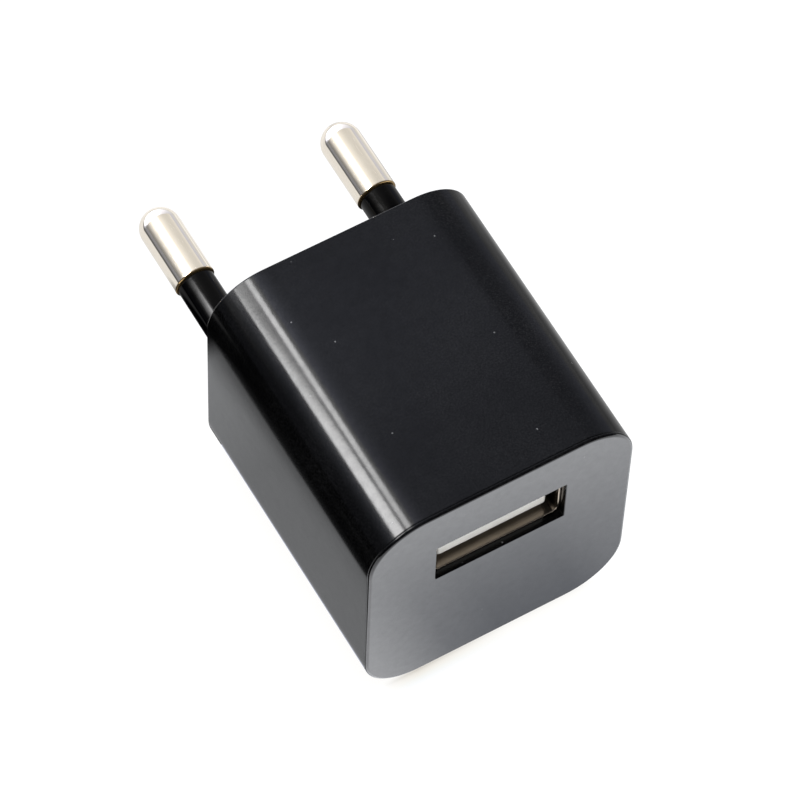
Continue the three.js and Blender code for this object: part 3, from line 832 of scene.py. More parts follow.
def usb_insulator():
    tongue = bmesh.new()
    half = TONGUE_WIDTH / 2
    box_mesh(tongue, (-half, TONGUE_FRONT, TONGUE_LOW), (half, TONGUE_ROOT + LOOSE, TONGUE_HIGH), 0.3 * MM, 4)
    bm = cut_away(tongue, contact_cuts(TONGUE_FRONT + 0.5 * MM, TONGUE_ROOT + CLEAR,
                                       TONGUE_HIGH - GROOVE_DEPTH, TONGUE_HIGH + CLEAR, 0.1 * MM))
    foot = bmesh.new()
    box_mesh(foot, (insulator_low.x, TONGUE_ROOT, insulator_low.z), insulator_high, 0.25 * MM, 3)
    room = CONTACT_SHEET / 2 + LOOSE
    joined(bm, cut_away(foot, contact_cuts(TONGUE_ROOT - CLEAR, insulator_high.y + CLEAR,
                                           CONTACT_LEVEL - room, CONTACT_LEVEL + room)))
    return finished(bm, "port_insulator", white_plastic, "usb_insulator")


def contact_strip(line, x, bend):
    bm = bmesh.new()
    strip(bm, line, CONTACT_WIDTH, CONTACT_SHEET, x, bend, CONTACT_EDGE)
    return bm


def usb_contact(number, x):
    """The arm springs about its root in the tongue. The tail leads back and up through the board."""
    start = FLEXURE - SNUG
    arm = [(start, 0.0), (start - 1.8 * MM, 0.05 * MM), (TONGUE_FRONT + 2.5 * MM, 0.62 * MM),
           (TONGUE_FRONT + 1.9 * MM, 0.65 * MM), (TONGUE_FRONT + 0.85 * MM, 0.22 * MM)]
    finished(contact_strip([(y, CONTACT_LEVEL + rise) for y, rise in arm], x, 0.5 * MM),
             f"contact_arm_{number}", gold, f"usb_contact_arm_{number}", body=f"contact_arm_{number}")
    tail = [(FLEXURE + SNUG, CONTACT_LEVEL), (CONTACT_BEHIND, CONTACT_LEVEL), (CONTACT_BEHIND, LEAD_END)]
    finished(contact_strip(tail, x, 0.35 * MM), f"contact_tail_{number}", gold, f"usb_contact_tail_{number}")


usb_shell()
usb_insulator()
for number, x in enumerate(CONTACT_PLACES, 1):
    usb_contact(number, x)


# ---- Leads ------------------------------------------------------------------------------------

BOARD_TOP = board_high.z
LEAD = 0.3 * MM
THIN_LEAD = 0.25 * MM
lead_places = []


def straight_lead(bm, x, y, low, radius=LEAD):
    """An upright lead through the board. Its place is kept for the hole and the solder."""
    tip = 0.12 * MM
    turned(bm, [(0, low), (radius, low), (radius, LEAD_END - tip), (radius * 0.6, LEAD_END), (0, LEAD_END)],
           (x, y, 0), "Z", LEAD_SIDES)
    lead_places.append((x, y))


def bent_lead(bm, points, radius=LEAD, bend=0.5 * MM):
    """A lead along a line of points, whose last stretch goes up through the board."""
    wire(bm, points, radius, bend)
    lead_places.append(tuple(points[-1][:2]))


def ac_contact(word):
    """A leaf whose lower end presses on the head of a pin, with a tab through the board."""
    low, high, centre = node_box(f"ac_contact_{word}")
    sheet, tab, kick, flat = 0.3 * MM, 1.2 * MM, 0.6 * MM, 1.2 * MM
    x, y = centre.x, high.y - sheet / 2
    shoulder = board_low.z - LOOSE
    bm = bmesh.new()
    strip(bm, [(y - kick, low.z + LOOSE), (y, low.z + flat), (y, shoulder)], high.x - low.x, sheet, x,
          0.8 * MM, 0.08 * MM)
    box_mesh(bm, (x - tab / 2, y - sheet / 2, shoulder - tab), (x + tab / 2, y + sheet / 2, LEAD_END),
             0.08 * MM)
    lead_places.append((x, y))
    return finished(bm, f"contact_leaf_{word}", gold, f"ac_contact_{word}")


for word in pins:
    ac_contact(word)


# ---- Transformer ------------------------------------------------------------------------------

core_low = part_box("transformer_core_lower")[0]
core_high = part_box("transformer_core_upper")[1]
CORE_MIDDLE = (core_low + core_high) / 2
SPOOL_AXIS = (CORE_MIDDLE.x, CORE_MIDDLE.y, 0)
CORE_WIDTH = core_high.x - core_low.x
CORE_DEPTH = core_high.y - core_low.y
CORE_BAR = 1.2 * MM
CORE_CENTRE = 2.45 * MM
CORE_OUTER = 1.25 * MM
SPOOL_WALL = 0.5 * MM
SPOOL_WIDTH = CORE_CENTRE + 2 * LOOSE + 2 * SPOOL_WALL
SPOOL_DEPTH = CORE_DEPTH + 2 * LOOSE + 2 * SPOOL_WALL
SPOOL_LOW = core_low.z + CORE_BAR + LOOSE
SPOOL_HIGH = core_high.z - CORE_BAR - LOOSE
FLANGE = 0.6 * MM
FLANGE_WIDTH = 7.4 * MM
FLANGE_DEPTH = 8.3 * MM
RAIL = 1.5 * MM
WINDING_LOW = SPOOL_LOW + FLANGE + SNUG
WINDING_HIGH = SPOOL_HIGH - FLANGE - SNUG
WIRE_ANGLES = [math.radians(a) for a in (-80, -45, 0, 45, 80)]
spool_shape = outline(SPOOL_WIDTH, SPOOL_DEPTH, 0.3 * MM, 4)


def band(bm, rows):
    """A closed ring round the spool whose section goes through rows of (outline, inset, z)."""
    skin(bm, lofted(bm, "Z", SPOOL_AXIS, rows), closed=True)


def core_half(word, way):
    """A bar with three legs that reach the other half at the middle."""
    height = (core_high.z - core_low.z) / 2
    side, bar, centre = CORE_WIDTH / 2, height - CORE_BAR, CORE_CENTRE / 2
    inner = side - CORE_OUTER
    right = [(centre, 0), (centre, bar), (inner, bar), (inner, 0), (side, 0), (side, height)]
    shape = right + [(-x, z) for x, z in reversed(right)]
    bm = bmesh.new()
    prism(bm, "Y", [(x, way * z) for x, z in shape], -CORE_DEPTH / 2, CORE_DEPTH / 2, 0.12 * MM, CORE_MIDDLE)
    return finished(bm, f"ferrite_{word}", ferrite, f"transformer_core_{word}")


def spool():
    """The former: a tube between two flanges, with a rail for terminals along each end."""
    bm = bmesh.new()
    bore = outline(CORE_CENTRE + 2 * LOOSE, CORE_DEPTH + 2 * LOOSE, 0.15 * MM, 4)
    flange = outline(FLANGE_WIDTH, FLANGE_DEPTH, 0.5 * MM, 4)
    edge = 0.12 * MM
    band(bm, [(bore, 0, SPOOL_LOW), (bore, 0, SPOOL_HIGH),
              (spool_shape, 0, SPOOL_HIGH), (spool_shape, 0, SPOOL_LOW)])
    for low in (SPOOL_LOW, SPOOL_HIGH - FLANGE):
        high = low + FLANGE
        band(bm, [(bore, 0, low), (bore, 0, high), (flange, edge, high), (flange, 0, high - edge),
                  (flange, 0, low + edge), (flange, edge, low)])
    for side in SIDES:
        y = CORE_MIDDLE.y + side * (FLANGE_DEPTH - RAIL) / 2
        box_mesh(bm, (CORE_MIDDLE.x - CORE_WIDTH / 2, y - RAIL / 2, SPOOL_HIGH - FLANGE),
                 (CORE_MIDDLE.x + CORE_WIDTH / 2, y + RAIL / 2, board_low.z), 0.15 * MM)
    return finished(bm, "bobbin", bobbin_plastic, "transformer_bobbin")


def winding(name, node, start, end, turns):
    """Turns of round wire, closely wound round the spool."""
    bm = bmesh.new()
    pitch = (WINDING_HIGH - WINDING_LOW) / turns
    radius = pitch / 2
    rows = [(spool_shape, -start, WINDING_HIGH), (spool_shape, -start, WINDING_LOW)]
    for turn in range(turns):
        for angle in WIRE_ANGLES:
            z = WINDING_LOW + pitch * (turn + 0.5) + radius * math.sin(angle)
            rows.append((spool_shape, -(end - radius + radius * math.cos(angle)), z))
    band(bm, rows)
    return finished(bm, name, copper, node)


def winding_tape():
    """One turn and a lap of tape round the windings."""
    bm = bmesh.new()
    start, end, edge, lap = 1.3 * MM, 1.42 * MM, 0.03 * MM, 0.03 * MM
    rows = [(start, WINDING_LOW), (start, WINDING_HIGH), (end - edge, WINDING_HIGH),
            (end, WINDING_HIGH - edge), (end, WINDING_LOW + edge), (end - edge, WINDING_LOW)]
    band(bm, [(spool_shape, -out, z) for out, z in rows])
    y = CORE_MIDDLE.y - SPOOL_DEPTH / 2 - end
    box_mesh(bm, (CORE_MIDDLE.x - SPOOL_WIDTH / 2, y - lap, WINDING_LOW),
             (CORE_MIDDLE.x, y + lap, WINDING_HIGH), 0.02 * MM)
    return finished(bm, "tape", tape, "transformer_tape")


def terminal(number):
    low, _, centre = node_box(f"transformer_terminal_{number}")
    bm = bmesh.new()
    straight_lead(bm, centre.x, centre.y, low.z)
    return finished(bm, f"terminal_{number}", tin, f"transformer_terminal_{number}")


core_half("upper", 1)
core_half("lower", -1)
spool()
winding("primary_turns", "primary_winding", 0.05 * MM, 0.75 * MM, 24)
winding("secondary_turns", "secondary_winding", 0.8 * MM, 1.25 * MM, 13)
winding_tape()
for number in range(1, 6):
    terminal(number)


# ---- Capacitors -------------------------------------------------------------------------------

CAN_EDGE = 0.35 * MM
CAN_ROLL = 1.2 * MM
CAN_LIP = 0.8 * MM
CAN_RECESS = 0.12 * MM
PLUG_DEPTH = 0.3 * MM
GROOVE_AT = 1.7 * MM
GROOVE_HALF = 0.5 * MM
GROOVE_IN = 0.3 * MM


def can_profile(radius, start, length):
    """The sleeve of a can from its lead side, with its rolled groove and its rounded end."""
    points = [(0, PLUG_DEPTH), (radius - CAN_ROLL - LOOSE, PLUG_DEPTH), (radius - CAN_ROLL, 0)]
    points += [(radius - CAN_EDGE + s, CAN_EDGE - c) for s, c in fillet(CAN_EDGE, 4)]
    for i in range(9):
        turn = math.pi * i / 8
        points.append((radius - GROOVE_IN * math.sin(turn), GROOVE_AT - GROOVE_HALF * math.cos(turn)))
    points += [(radius - CAN_EDGE + c, length - CAN_EDGE + s) for s, c in fillet(CAN_EDGE, 4)]
    floor = length - CAN_RECESS
    points += [(radius - CAN_LIP, length), (radius - CAN_LIP - CAN_RECESS / 2, floor), (0, floor)]
    return [(r, start - along) for r, along in points]


def can_top(bm, radius, end, centre, axis):
    """The bare end of a can, with the cross that lets it vent."""
    arm, reach = 0.12 * MM, radius - 1.3 * MM
    disc, low, high = radius - 0.85 * MM, end + 0.1 * MM, end + 0.2 * MM
    turned(bm, [(0, high), (disc, high), (disc, low), (0, low)], centre, axis)
    for across, up in ((reach, arm), (arm, reach)):
        box_mesh(bm, Vector(AXES[axis](-across, -up, end + 0.04 * MM)) + Vector(centre),
                 Vector(AXES[axis](across, up, end + 0.15 * MM)) + Vector(centre), 0.02 * MM)


def input_capacitor():
    low, high, centre = node_box("input_capacitor")
    radius, length, pitch = (high.x - low.x) / 2, 12.0 * MM, 3.5 * MM
    axis_place = (centre.x, centre.y, 0)
    top = low.z + length
    bm = bmesh.new()
    turned(bm, can_profile(radius, top, length), axis_place, "Z")
    finished(bm, "large_capacitor", can_sleeve, "input_capacitor")
    bm = bmesh.new()
    can_top(bm, radius, low.z, axis_place, "Z")
    for side in SIDES:
        straight_lead(bm, centre.x + side * pitch / 2, centre.y, top - 1.0 * MM)
    return finished(bm, "large_capacitor_metal", aluminium)


def output_capacitor():
    low, high, centre = node_box("output_capacitor")
    radius, length, pitch = (high.x - low.x) / 2, 11.0 * MM, 2.5 * MM
    x, z = centre.x, low.z + radius
    base, rear = low.y + length, high.y - THIN_LEAD
    bm = bmesh.new()
    turned(bm, can_profile(radius, base, length), (x, 0, z))
    finished(bm, "small_capacitor", can_sleeve, "output_capacitor")
    bm = bmesh.new()
    can_top(bm, radius, low.y, (x, 0, z), "Y")
    for side in SIDES:
        lead_x = x + side * pitch / 2
        bent_lead(bm, [(lead_x, base - 1.0 * MM, z), (lead_x, rear, z), (lead_x, rear, LEAD_END)], THIN_LEAD)
    return finished(bm, "small_capacitor_metal", aluminium)


def y_capacitor():
    low, high, centre = node_box("y_capacitor")
    half, radius, pitch = (high.x - low.x) / 2, (high.y - low.y) / 2, 4.0 * MM
    x, y, z = centre.x, centre.y, low.z + radius
    flat, coat, coat_end = radius - 1.3 * MM, LEAD + 0.2 * MM, high.z - 3.6 * MM
    rim = [math.pi / 2 * (1 - i / 6) for i in range(13)]
    profile = [(flat + (radius - flat) * math.cos(t), half * math.sin(t)) for t in rim]
    bm = bmesh.new()
    turned(bm, [(0, half)] + profile + [(0, -half)], (x, y, z), "X", BARREL_SIDES)
    for side in SIDES:
        turned(bm, [(0, z), (coat, z), (coat, coat_end - 0.6 * MM), (LEAD, coat_end), (0, coat_end)],
               (x, y + side * pitch / 2, 0), "Z", LEAD_SIDES)
    finished(bm, "disc_capacitor", ceramic_blue, "y_capacitor")
    bm = bmesh.new()
    for side in SIDES:
        straight_lead(bm, x, y + side * pitch / 2, z)
    return finished(bm, "disc_capacitor_leads", tin)


input_capacitor()
output_capacitor()
y_capacitor()


# ---- Wired parts below the board --------------------------------------------------------------

def barrel(radius, edge, start, end, waist=()):
    """The profile of a cylinder with rounded ends, with more points between them."""
    return ([(0, start)] + [(radius - edge + s, start + edge - c) for s, c in fillet(edge, 4)] + list(waist)
            + [(radius - edge + c, end - edge + s) for s, c in fillet(edge, 4)] + [(0, end)])


def printed_band(name, finish, radius, at, half, centre, axis):
    """A thin coloured ring round a barrel."""
    thick = 0.02 * MM
    bm = bmesh.new()
    turned(bm, [(radius - thick, at - half), (radius + thick, at - half), (radius + thick, at + half),
                (radius - thick, at + half), (radius - thick, at - half)], centre, axis, BARREL_SIDES)
    welded(bm)
    return finished(bm, name, finish, slot="resistor_coat" if finish is gold else None)


def fusible_resistor():
    low, high, centre = node_box("fusible_resistor")
    radius, reach, swell = (high.x - low.x) / 2, 0.9 * MM, 0.12 * MM
    cap, slope_end = 1.2 * MM, 1.7 * MM
    x, z = centre.x, low.z + radius
    front, rear = low.y + LEAD, high.y - LEAD
    start, end = front + reach, rear - reach
    neck = radius - swell
    waist = [(radius, start + cap), (neck, start + slope_end), (neck, end - slope_end), (radius, end - cap)]
    bm = bmesh.new()
    turned(bm, barrel(radius, 0.4 * MM, start, end, waist), (x, 0, z), sides=BARREL_SIDES)
    finished(bm, "resistor", resistor_green, "fusible_resistor")
    bands = ((0.36, band_brown), (0.46, band_dark), (0.56, gold), (0.66, band_brown))
    for number, (share, finish) in enumerate(bands, 1):
        at = start + share * (end - start)
        printed_band(f"resistor_band_{number}", finish, neck, at, 0.18 * MM, (x, 0, z), "Y")
    bm = bmesh.new()
    for y, inner in ((front, start + 0.5 * MM), (rear, end - 0.5 * MM)):
        bent_lead(bm, [(x, inner, z), (x, y, z), (x, y, LEAD_END)])
    return finished(bm, "resistor_leads", tin)


def switching_transistor():
    low, high, centre = node_box("switching_transistor")
    radius, flat, pitch, height = (high.x - low.x) / 2, 1.3 * MM, 1.27 * MM, 4.6 * MM
    x, y = centre.x, high.y - radius
    start = -math.asin(flat / radius)
    turns = [start + (math.pi - 2 * start) * i / 32 for i in range(33)]
    bm = bmesh.new()
    prism(bm, "Z", [(radius * math.cos(t), radius * math.sin(t)) for t in turns], low.z, low.z + height,
          0.15 * MM, (x, y, 0))
    finished(bm, "transistor", epoxy, "switching_transistor")
    bm = bmesh.new()
    for i in (-1, 0, 1):
        straight_lead(bm, x + i * pitch, y, low.z + height - 1.0 * MM, THIN_LEAD)
    return finished(bm, "transistor_leads", tin)


def output_diode():
    low, high, centre = node_box("output_diode")
    radius, loop, length = (high.x - low.x) / 2, 2.1 * MM, 5.2 * MM
    x, y = centre.x, high.y - radius
    top = board_low.z - 0.31 * MM
    bottom, sag = top - length, low.z + LEAD
    bm = bmesh.new()
    turned(bm, barrel(radius, 0.15 * MM, bottom, top), (x, y, 0), "Z", BARREL_SIDES)
    finished(bm, "diode", epoxy, "output_diode")
    printed_band("diode_band", band_silver, radius, top - 0.9 * MM, 0.35 * MM, (x, y, 0), "Z")
    bm = bmesh.new()
    straight_lead(bm, x, y, top - 0.5 * MM)
    bent_lead(bm, [(x, y, bottom + 0.5 * MM), (x, y, sag), (x, y - loop, sag), (x, y - loop, LEAD_END)],
              bend=0.9 * MM)
    return finished(bm, "diode_leads", tin)


fusible_resistor()
switching_transistor()
output_diode()


# ---- Chips on the upper side of the board -----------------------------------------------------

DRAFT = 0.12 * MM
TOE = 0.7 * MM
FOOT_WIDTH = 0.4 * MM
FOOT_SHEET = 0.15 * MM
FOOT_LEVEL = 0.45 * MM
DOT_HEIGHT = 0.015 * MM
DOT_RADIUS = 0.2 * MM
DOT_TOP_RADIUS = 0.17 * MM


def package_feet(node, places, centre, half_depth, low):
    """Bent feet on the two long sides of a package."""
    bm = bmesh.new()
    level, foot = low.z + FOOT_LEVEL, low.z + FOOT_SHEET / 2
    for x in places:
        for side in SIDES:
            edge = centre.y + side * (half_depth - 0.1 * MM)
            line = [(edge, level), (edge + side * 0.3 * MM, level), (edge + side * 0.42 * MM, foot),
                    (centre.y + side * (half_depth + TOE), foot)]
            strip(bm, line, FOOT_WIDTH, FOOT_SHEET, centre.x + x, 0.12 * MM, 0.03 * MM)
    return finished(bm, f"{node}_feet", tin)


def packaged(node, feet, has_dot):
    """A moulded package with drafted sides, and a dot or a printed band that marks one end."""
    low, high, centre = node_box(node)
    half_width, half_depth = (high.x - low.x) / 2, (high.y - low.y) / 2 - TOE
    shape = outline(2 * half_width, 2 * half_depth, 0.12 * MM, 3)
    bottom = low.z + LOOSE
    waist = bottom + (high.z - bottom) * 0.45
    rounding = 0.08 * MM
    bm = bmesh.new()
    capped(bm, lofted(bm, "Z", (centre.x, centre.y, 0), [
        (shape, DRAFT, bottom), (shape, 0.0, waist), (shape, DRAFT, high.z - rounding),
        (shape, DRAFT + rounding, high.z)]))
    end = centre.y - half_depth
    if has_dot:
        dot_top = high.z + DOT_HEIGHT
        turned(bm, [(0, high.z), (DOT_RADIUS, high.z), (DOT_TOP_RADIUS, dot_top), (0, dot_top)],
               (centre.x - half_width + 0.55 * MM, end + 0.5 * MM, 0), "Z", HOLE_SIDES)
    finished(bm, f"{node}_body", epoxy, node)
    if not has_dot:
        bm = bmesh.new()
        reach = half_width - DRAFT
        box_mesh(bm, (centre.x - reach, end + 0.3 * MM, high.z - 0.02 * MM),
                 (centre.x + reach, end + 0.75 * MM, high.z + 0.01 * MM), 0.01 * MM)
        finished(bm, f"{node}_band", band_silver)
    return package_feet(node, feet, centre, half_depth, low)


def chip(node, finish):
    """A chip resistor or capacitor: a block with a rounded metal cap at each end."""
    low, high, _ = node_box(node)
    cap, step = 0.5 * MM, 0.03 * MM
    bm = bmesh.new()
    within = Vector((cap / 2, step, step))
    box_mesh(bm, low + within, high - within, 0.05 * MM)
    finished(bm, f"{node}_body", finish, node)
    bm = bmesh.new()
    for start, end in ((low.x, low.x + cap), (high.x - cap, high.x)):
        box_mesh(bm, (start, low.y, low.z), (end, high.y, high.z), 0.08 * MM, 3)
    return finished(bm, f"{node}_caps", tin)


packaged("bridge_rectifier", (-1.3 * MM, 1.3 * MM), True)
packaged("controller_ic", (-0.95 * MM, 0.0, 0.95 * MM), True)
packaged("snubber_diode", (0.0,), False)
for number in range(1, 5):
    chip(f"chip_resistor_{number}", epoxy)
for number in (1, 2):
    chip(f"chip_capacitor_{number}", chip_tan)


# ---- Circuit board ----------------------------------------------------------------------------

HOLE_RADIUS = 0.45 * MM
TRACK_WIDTH = 0.7 * MM
TRACK_HEIGHT = 0.035 * MM
TRACK_EDGE = 0.02 * MM
SOLDER_SIDES = 20


def circuit_board():
    bm = bmesh.new()
    box_mesh(bm, board_low, board_high, 0.06 * MM)
    holes = bmesh.new()
    below, above = board_low.z - CLEAR, board_high.z + CLEAR
    for x, y in lead_places:
        turned(holes, [(0, below), (HOLE_RADIUS, below), (HOLE_RADIUS, above), (0, above)],
               (x, y, 0), "Z", HOLE_SIDES)
    room = 2 * LOOSE
    leg_x, leg_y = (PORT_WIDTH + PORT_SHEET) / 2, LEG_FRONT + LEG_WIDTH / 2
    slots = [(side * leg_x, leg_y, PORT_SHEET, LEG_WIDTH) for side in SIDES]
    slots += [(x, CONTACT_BEHIND, CONTACT_WIDTH, CONTACT_SHEET) for x in CONTACT_PLACES]
    for x, y, width, depth in slots:
        box_mesh(holes, (x - width / 2 - room, y - depth / 2 - room, below),
                 (x + width / 2 + room, y + depth / 2 + room, above))
    return finished(cut_away(bm, holes), "board", board_green, "circuit_board")


def tracks():
    """Raised copper tracks under the green coat, from lead to lead, each in two straight runs."""
    bm = bmesh.new()
    half = TRACK_WIDTH / 2
    ordered = sorted(lead_places, key=lambda place: (round(place[1], 3), place[0]))
    for (x0, y0), (x1, y1) in zip(ordered[::2], ordered[1::2]):
        for from_x, from_y in ((x0, y0), (x1, y1)):
            low_x, high_x = sorted((x0, from_x))
            low_y, high_y = sorted((y1, from_y))
            box_mesh(bm, (low_x - half, low_y - half, BOARD_TOP - TRACK_HEIGHT),
                     (high_x + half, high_y + half, BOARD_TOP + TRACK_HEIGHT), TRACK_EDGE)
    return finished(bm, "board_tracks", track_green)


def solder_joints():
    """A cone of solder round each lead, as (radius, height) points in millimetres."""
    bm = bmesh.new()
    rise = [(0.0, 0.0), (0.78, 0.0), (0.72, 0.06), (0.52, 0.18), (0.39, 0.36), (0.31, 0.60), (0.0, 0.60)]
    profile = [(radius * MM, BOARD_TOP + height * MM) for radius, height in rise]
    for x, y in lead_places:
        turned(bm, profile, (x, y, 0), "Z", SOLDER_SIDES)
    return finished(bm, "solder_joints", tin)


circuit_board()
tracks()
solder_joints()


# ---- Floor, backdrop and light ----------------------------------------------------------------

ACROSS = Vector((1, 0, 0))
ALONG = Vector((0, 1, 0))


class Glow(Nodes):
    """A material that only gives light. Strengths are placed in metres along directions."""

    def __init__(self, name):
        self.material = bpy.data.materials.new(name)
        self.material.use_nodes = True
        super().__init__(self.material.node_tree)
        self.tree.nodes.clear()
        output = self.node("ShaderNodeOutputMaterial")
        self.emission = self.node("ShaderNodeEmission")
        self.link(self.emission.outputs["Emission"], output.inputs["Surface"])
        self.place = self.node("ShaderNodeNewGeometry").outputs["Position"]

    def gives(self, share, strength):
        self.link(share, self.emission.inputs["Color"])
        self.emission.inputs["Strength"].default_value = strength
        return self.material


def hung(name, mesh, material, camera=False, glossy=True, diffuse=False, shadow=False):
    """Adds a panel to the studio, seen only by the rays that are named."""
    made = added(name, mesh)
    made.data.materials.append(material)
    made.visible_camera = camera
    made.visible_glossy = glossy
    made.visible_diffuse = diffuse
    made.visible_shadow = shadow
    return made


def sheet_mesh(name, front, back):
    """A sheet between two lines of points."""
    bm = bmesh.new()
    a, b = [[bm.verts.new(p) for p in line] for line in (front, back)]
    for i in range(1, len(a)):
        bm.faces.new((a[i - 1], a[i], b[i], b[i - 1]))
    return mesh_of(name, bm)


def panel(name, level, x_range, y_range, material, **seen):
    """A level rectangle."""
    front, back = [[(x, y, level) for x in x_range] for y in y_range]
    return hung(name, sheet_mesh(name, front, back), material, **seen)


# Two strips of light hang over the left side. The wide one ends at a slanted edge.
STRIP_HEIGHT = 0.400
STRIP_TOP = 36.0
SLANT = Vector((0.49, 1.0, 0.0))
SLANT_AT = 0.0810
SLANT_BLUR = 0.006
STRIP_LEFT, STRIP_RIGHT, SKY_RIGHT = -0.460, -0.040, 0.250
CEILING_DEPTH = (0.08, 0.42)


def strip_light():
    g = Glow("strip_light")
    across = g.along(ACROSS)
    thin = g.graph(across, [
        (STRIP_LEFT, 0.4), (-0.430, 1.0), (-0.405, 8.5), (-0.175, 8.5), (-0.164, 9.0), (-0.152, 33.0),
        (-0.098, 33.0), (-0.084, 6.0), (STRIP_RIGHT, 3.2)], STRIP_TOP)
    fade = g.graph(g.along(ALONG), [(0.160, 0.66), (0.178, 1.0), (0.190, 0.95)])
    wide = g.graph(across, [
        (STRIP_LEFT, 0.0), (-0.430, 2.0), (-0.410, 36.0), (-0.214, 36.0), (-0.196, 0.0)], STRIP_TOP)
    inside = g.graph(g.along(SLANT), [(SLANT_AT - SLANT_BLUR, 1.0), (SLANT_AT + SLANT_BLUR, 0.0)])
    return g.gives(g.mix(1.0, g.product(thin, fade), g.product(wide, inside), "LIGHTEN"), STRIP_TOP)


panel("strips", STRIP_HEIGHT, (STRIP_LEFT, STRIP_RIGHT), CEILING_DEPTH, strip_light())

SKY_TOP = 2.9
SKY_TINT = (0.95, 0.99, 1.18)
SKY_BLUE = max(SKY_TINT)
sky_share = [c / SKY_BLUE for c in SKY_TINT]


def sky_light():
    """The part of the ceiling that the top of the casing mirrors, dimmer towards its front."""
    g = Glow("sky_light")
    across = g.graph(g.along(ACROSS), [
        (STRIP_RIGHT, 2.9), (-0.005, 2.25), (0.037, 1.75), (0.080, 1.3), (0.125, 0.90), (0.170, 0.76),
        (SKY_RIGHT, 0.62)], SKY_TOP, sky_share)
    back = g.graph(g.along(ALONG), [(0.165, 0.66), (0.181, 1.3), (0.192, 1.2), (0.206, 0.96)])
    return g.gives(g.product(across, back), SKY_TOP * SKY_BLUE)


panel("sky", STRIP_HEIGHT, (STRIP_RIGHT, SKY_RIGHT), CEILING_DEPTH, sky_light())

# A small light hangs over the pins and their sleeves. Its front edge follows the points that the
# rear edge of the casing mirrors, so the casing does not see it.
PIN_LIGHT_HEIGHT = 0.100
PIN_LIGHT_DEPTH = 0.060
PIN_LIGHT_CLEAR = 1.5 * MM
PIN_LIGHT_LEFT, PIN_LIGHT_RIGHT = -0.450, 0.300
PIN_LIGHT_STEPS = 40
PIN_LIGHT_TOP = 48.0
MIRROR_SLOPE = 0.468
BARE_BLUR = 0.3 * MM


def mirrored_place(g):
    """The Y of the point on the pins' axis that mirrors each place of the light to the camera."""
    flat = g.node("ShaderNodeVectorMath", operation="MULTIPLY")
    flat.inputs[1].default_value = (1, 0, 1)
    g.link(g.place, flat.inputs[0])
    far = g.node("ShaderNodeVectorMath", operation="LENGTH")
    g.link(flat.outputs["Vector"], far.inputs[0])
    made = g.node("ShaderNodeMath", operation="MULTIPLY_ADD")
    made.inputs[1].default_value = -MIRROR_SLOPE
    g.link(far.outputs["Value"], made.inputs[0])
    g.link(g.along(ALONG), made.inputs[2])
    return made.outputs["Value"]


def pin_light():
    g = Glow("pin_light")
    across = g.along(ACROSS)
    on_sleeves = g.graph(across, [
        (PIN_LIGHT_LEFT, 0.3), (-0.375, 0.5), (-0.174, 2.3), (-0.102, 17.0), (-0.070, 36.0), (-0.058, 48.0),
        (-0.050, 30.0), (-0.0433, 9.0), (-0.0284, 1.0), (-0.010, 0.3), (0.0295, 0.1),
        (PIN_LIGHT_RIGHT, 0.25)], PIN_LIGHT_TOP)
    on_pins = g.graph(across, [
        (PIN_LIGHT_LEFT, 0.10), (-0.375, 0.11), (-0.230, 0.24), (-0.170, 0.50), (-0.125, 0.80), (-0.100, 1.1),
        (-0.080, 1.5), (-0.012, 1.5), (0.0, 0.95), (0.019, 0.78), (0.040, 0.64), (0.067, 0.56), (0.125, 0.54),
        (0.250, 0.68), (PIN_LIGHT_RIGHT, 0.64)], PIN_LIGHT_TOP, (1.0, 0.975, 0.93))
    share = g.graph(mirrored_place(g), [(BARE_FROM - BARE_BLUR, 0.0), (BARE_FROM + BARE_BLUR, 1.0)])
    return g.gives(g.mix(share, on_sleeves, on_pins), PIN_LIGHT_TOP)


def pin_panel():
    """A level panel with a curved front edge."""
    front = []
    for i in range(PIN_LIGHT_STEPS + 1):
        x = PIN_LIGHT_LEFT + (PIN_LIGHT_RIGHT - PIN_LIGHT_LEFT) * i / PIN_LIGHT_STEPS
        y = REAR + PIN_LIGHT_CLEAR + MIRROR_SLOPE * math.hypot(x, PIN_LIGHT_HEIGHT)
        front.append((x, y, PIN_LIGHT_HEIGHT))
    back = [(x, y + PIN_LIGHT_DEPTH, z) for x, y, z in front]
    return hung("pin_light", sheet_mesh("pin_light", front, back), pin_light())


pin_panel()

# What the glossy surfaces see of the floor: bright close in front, dim beyond the left side.
CARD_LEVEL = FLOOR_LEVEL - 0.2 * MM
REACH = 0.4


def front_floor():
    g = Glow("front_card")
    top = 3.5
    along = g.along(ALONG)
    shade = g.graph(along, [
        (FRONT - 0.0128, 0.0), (FRONT - 0.0068, 1.40), (FRONT - 0.0028, 1.95), (FRONT, 2.2)], top)
    place = g.graph(g.along(ACROSS), [
        (-0.0108, 0.0), (-0.0042, 0.8), (0.001, 1.0), (0.009, 1.0), (0.0135, 0.78), (0.017, 0.7),
        (0.04, 0.3)])
    base = g.graph(along, [(FRONT - 0.1, top), (FRONT, top)], top, (0.95, 0.965, 1.0))
    return g.gives(g.mix(1.0, base, g.product(shade, place), "SUBTRACT"), top)


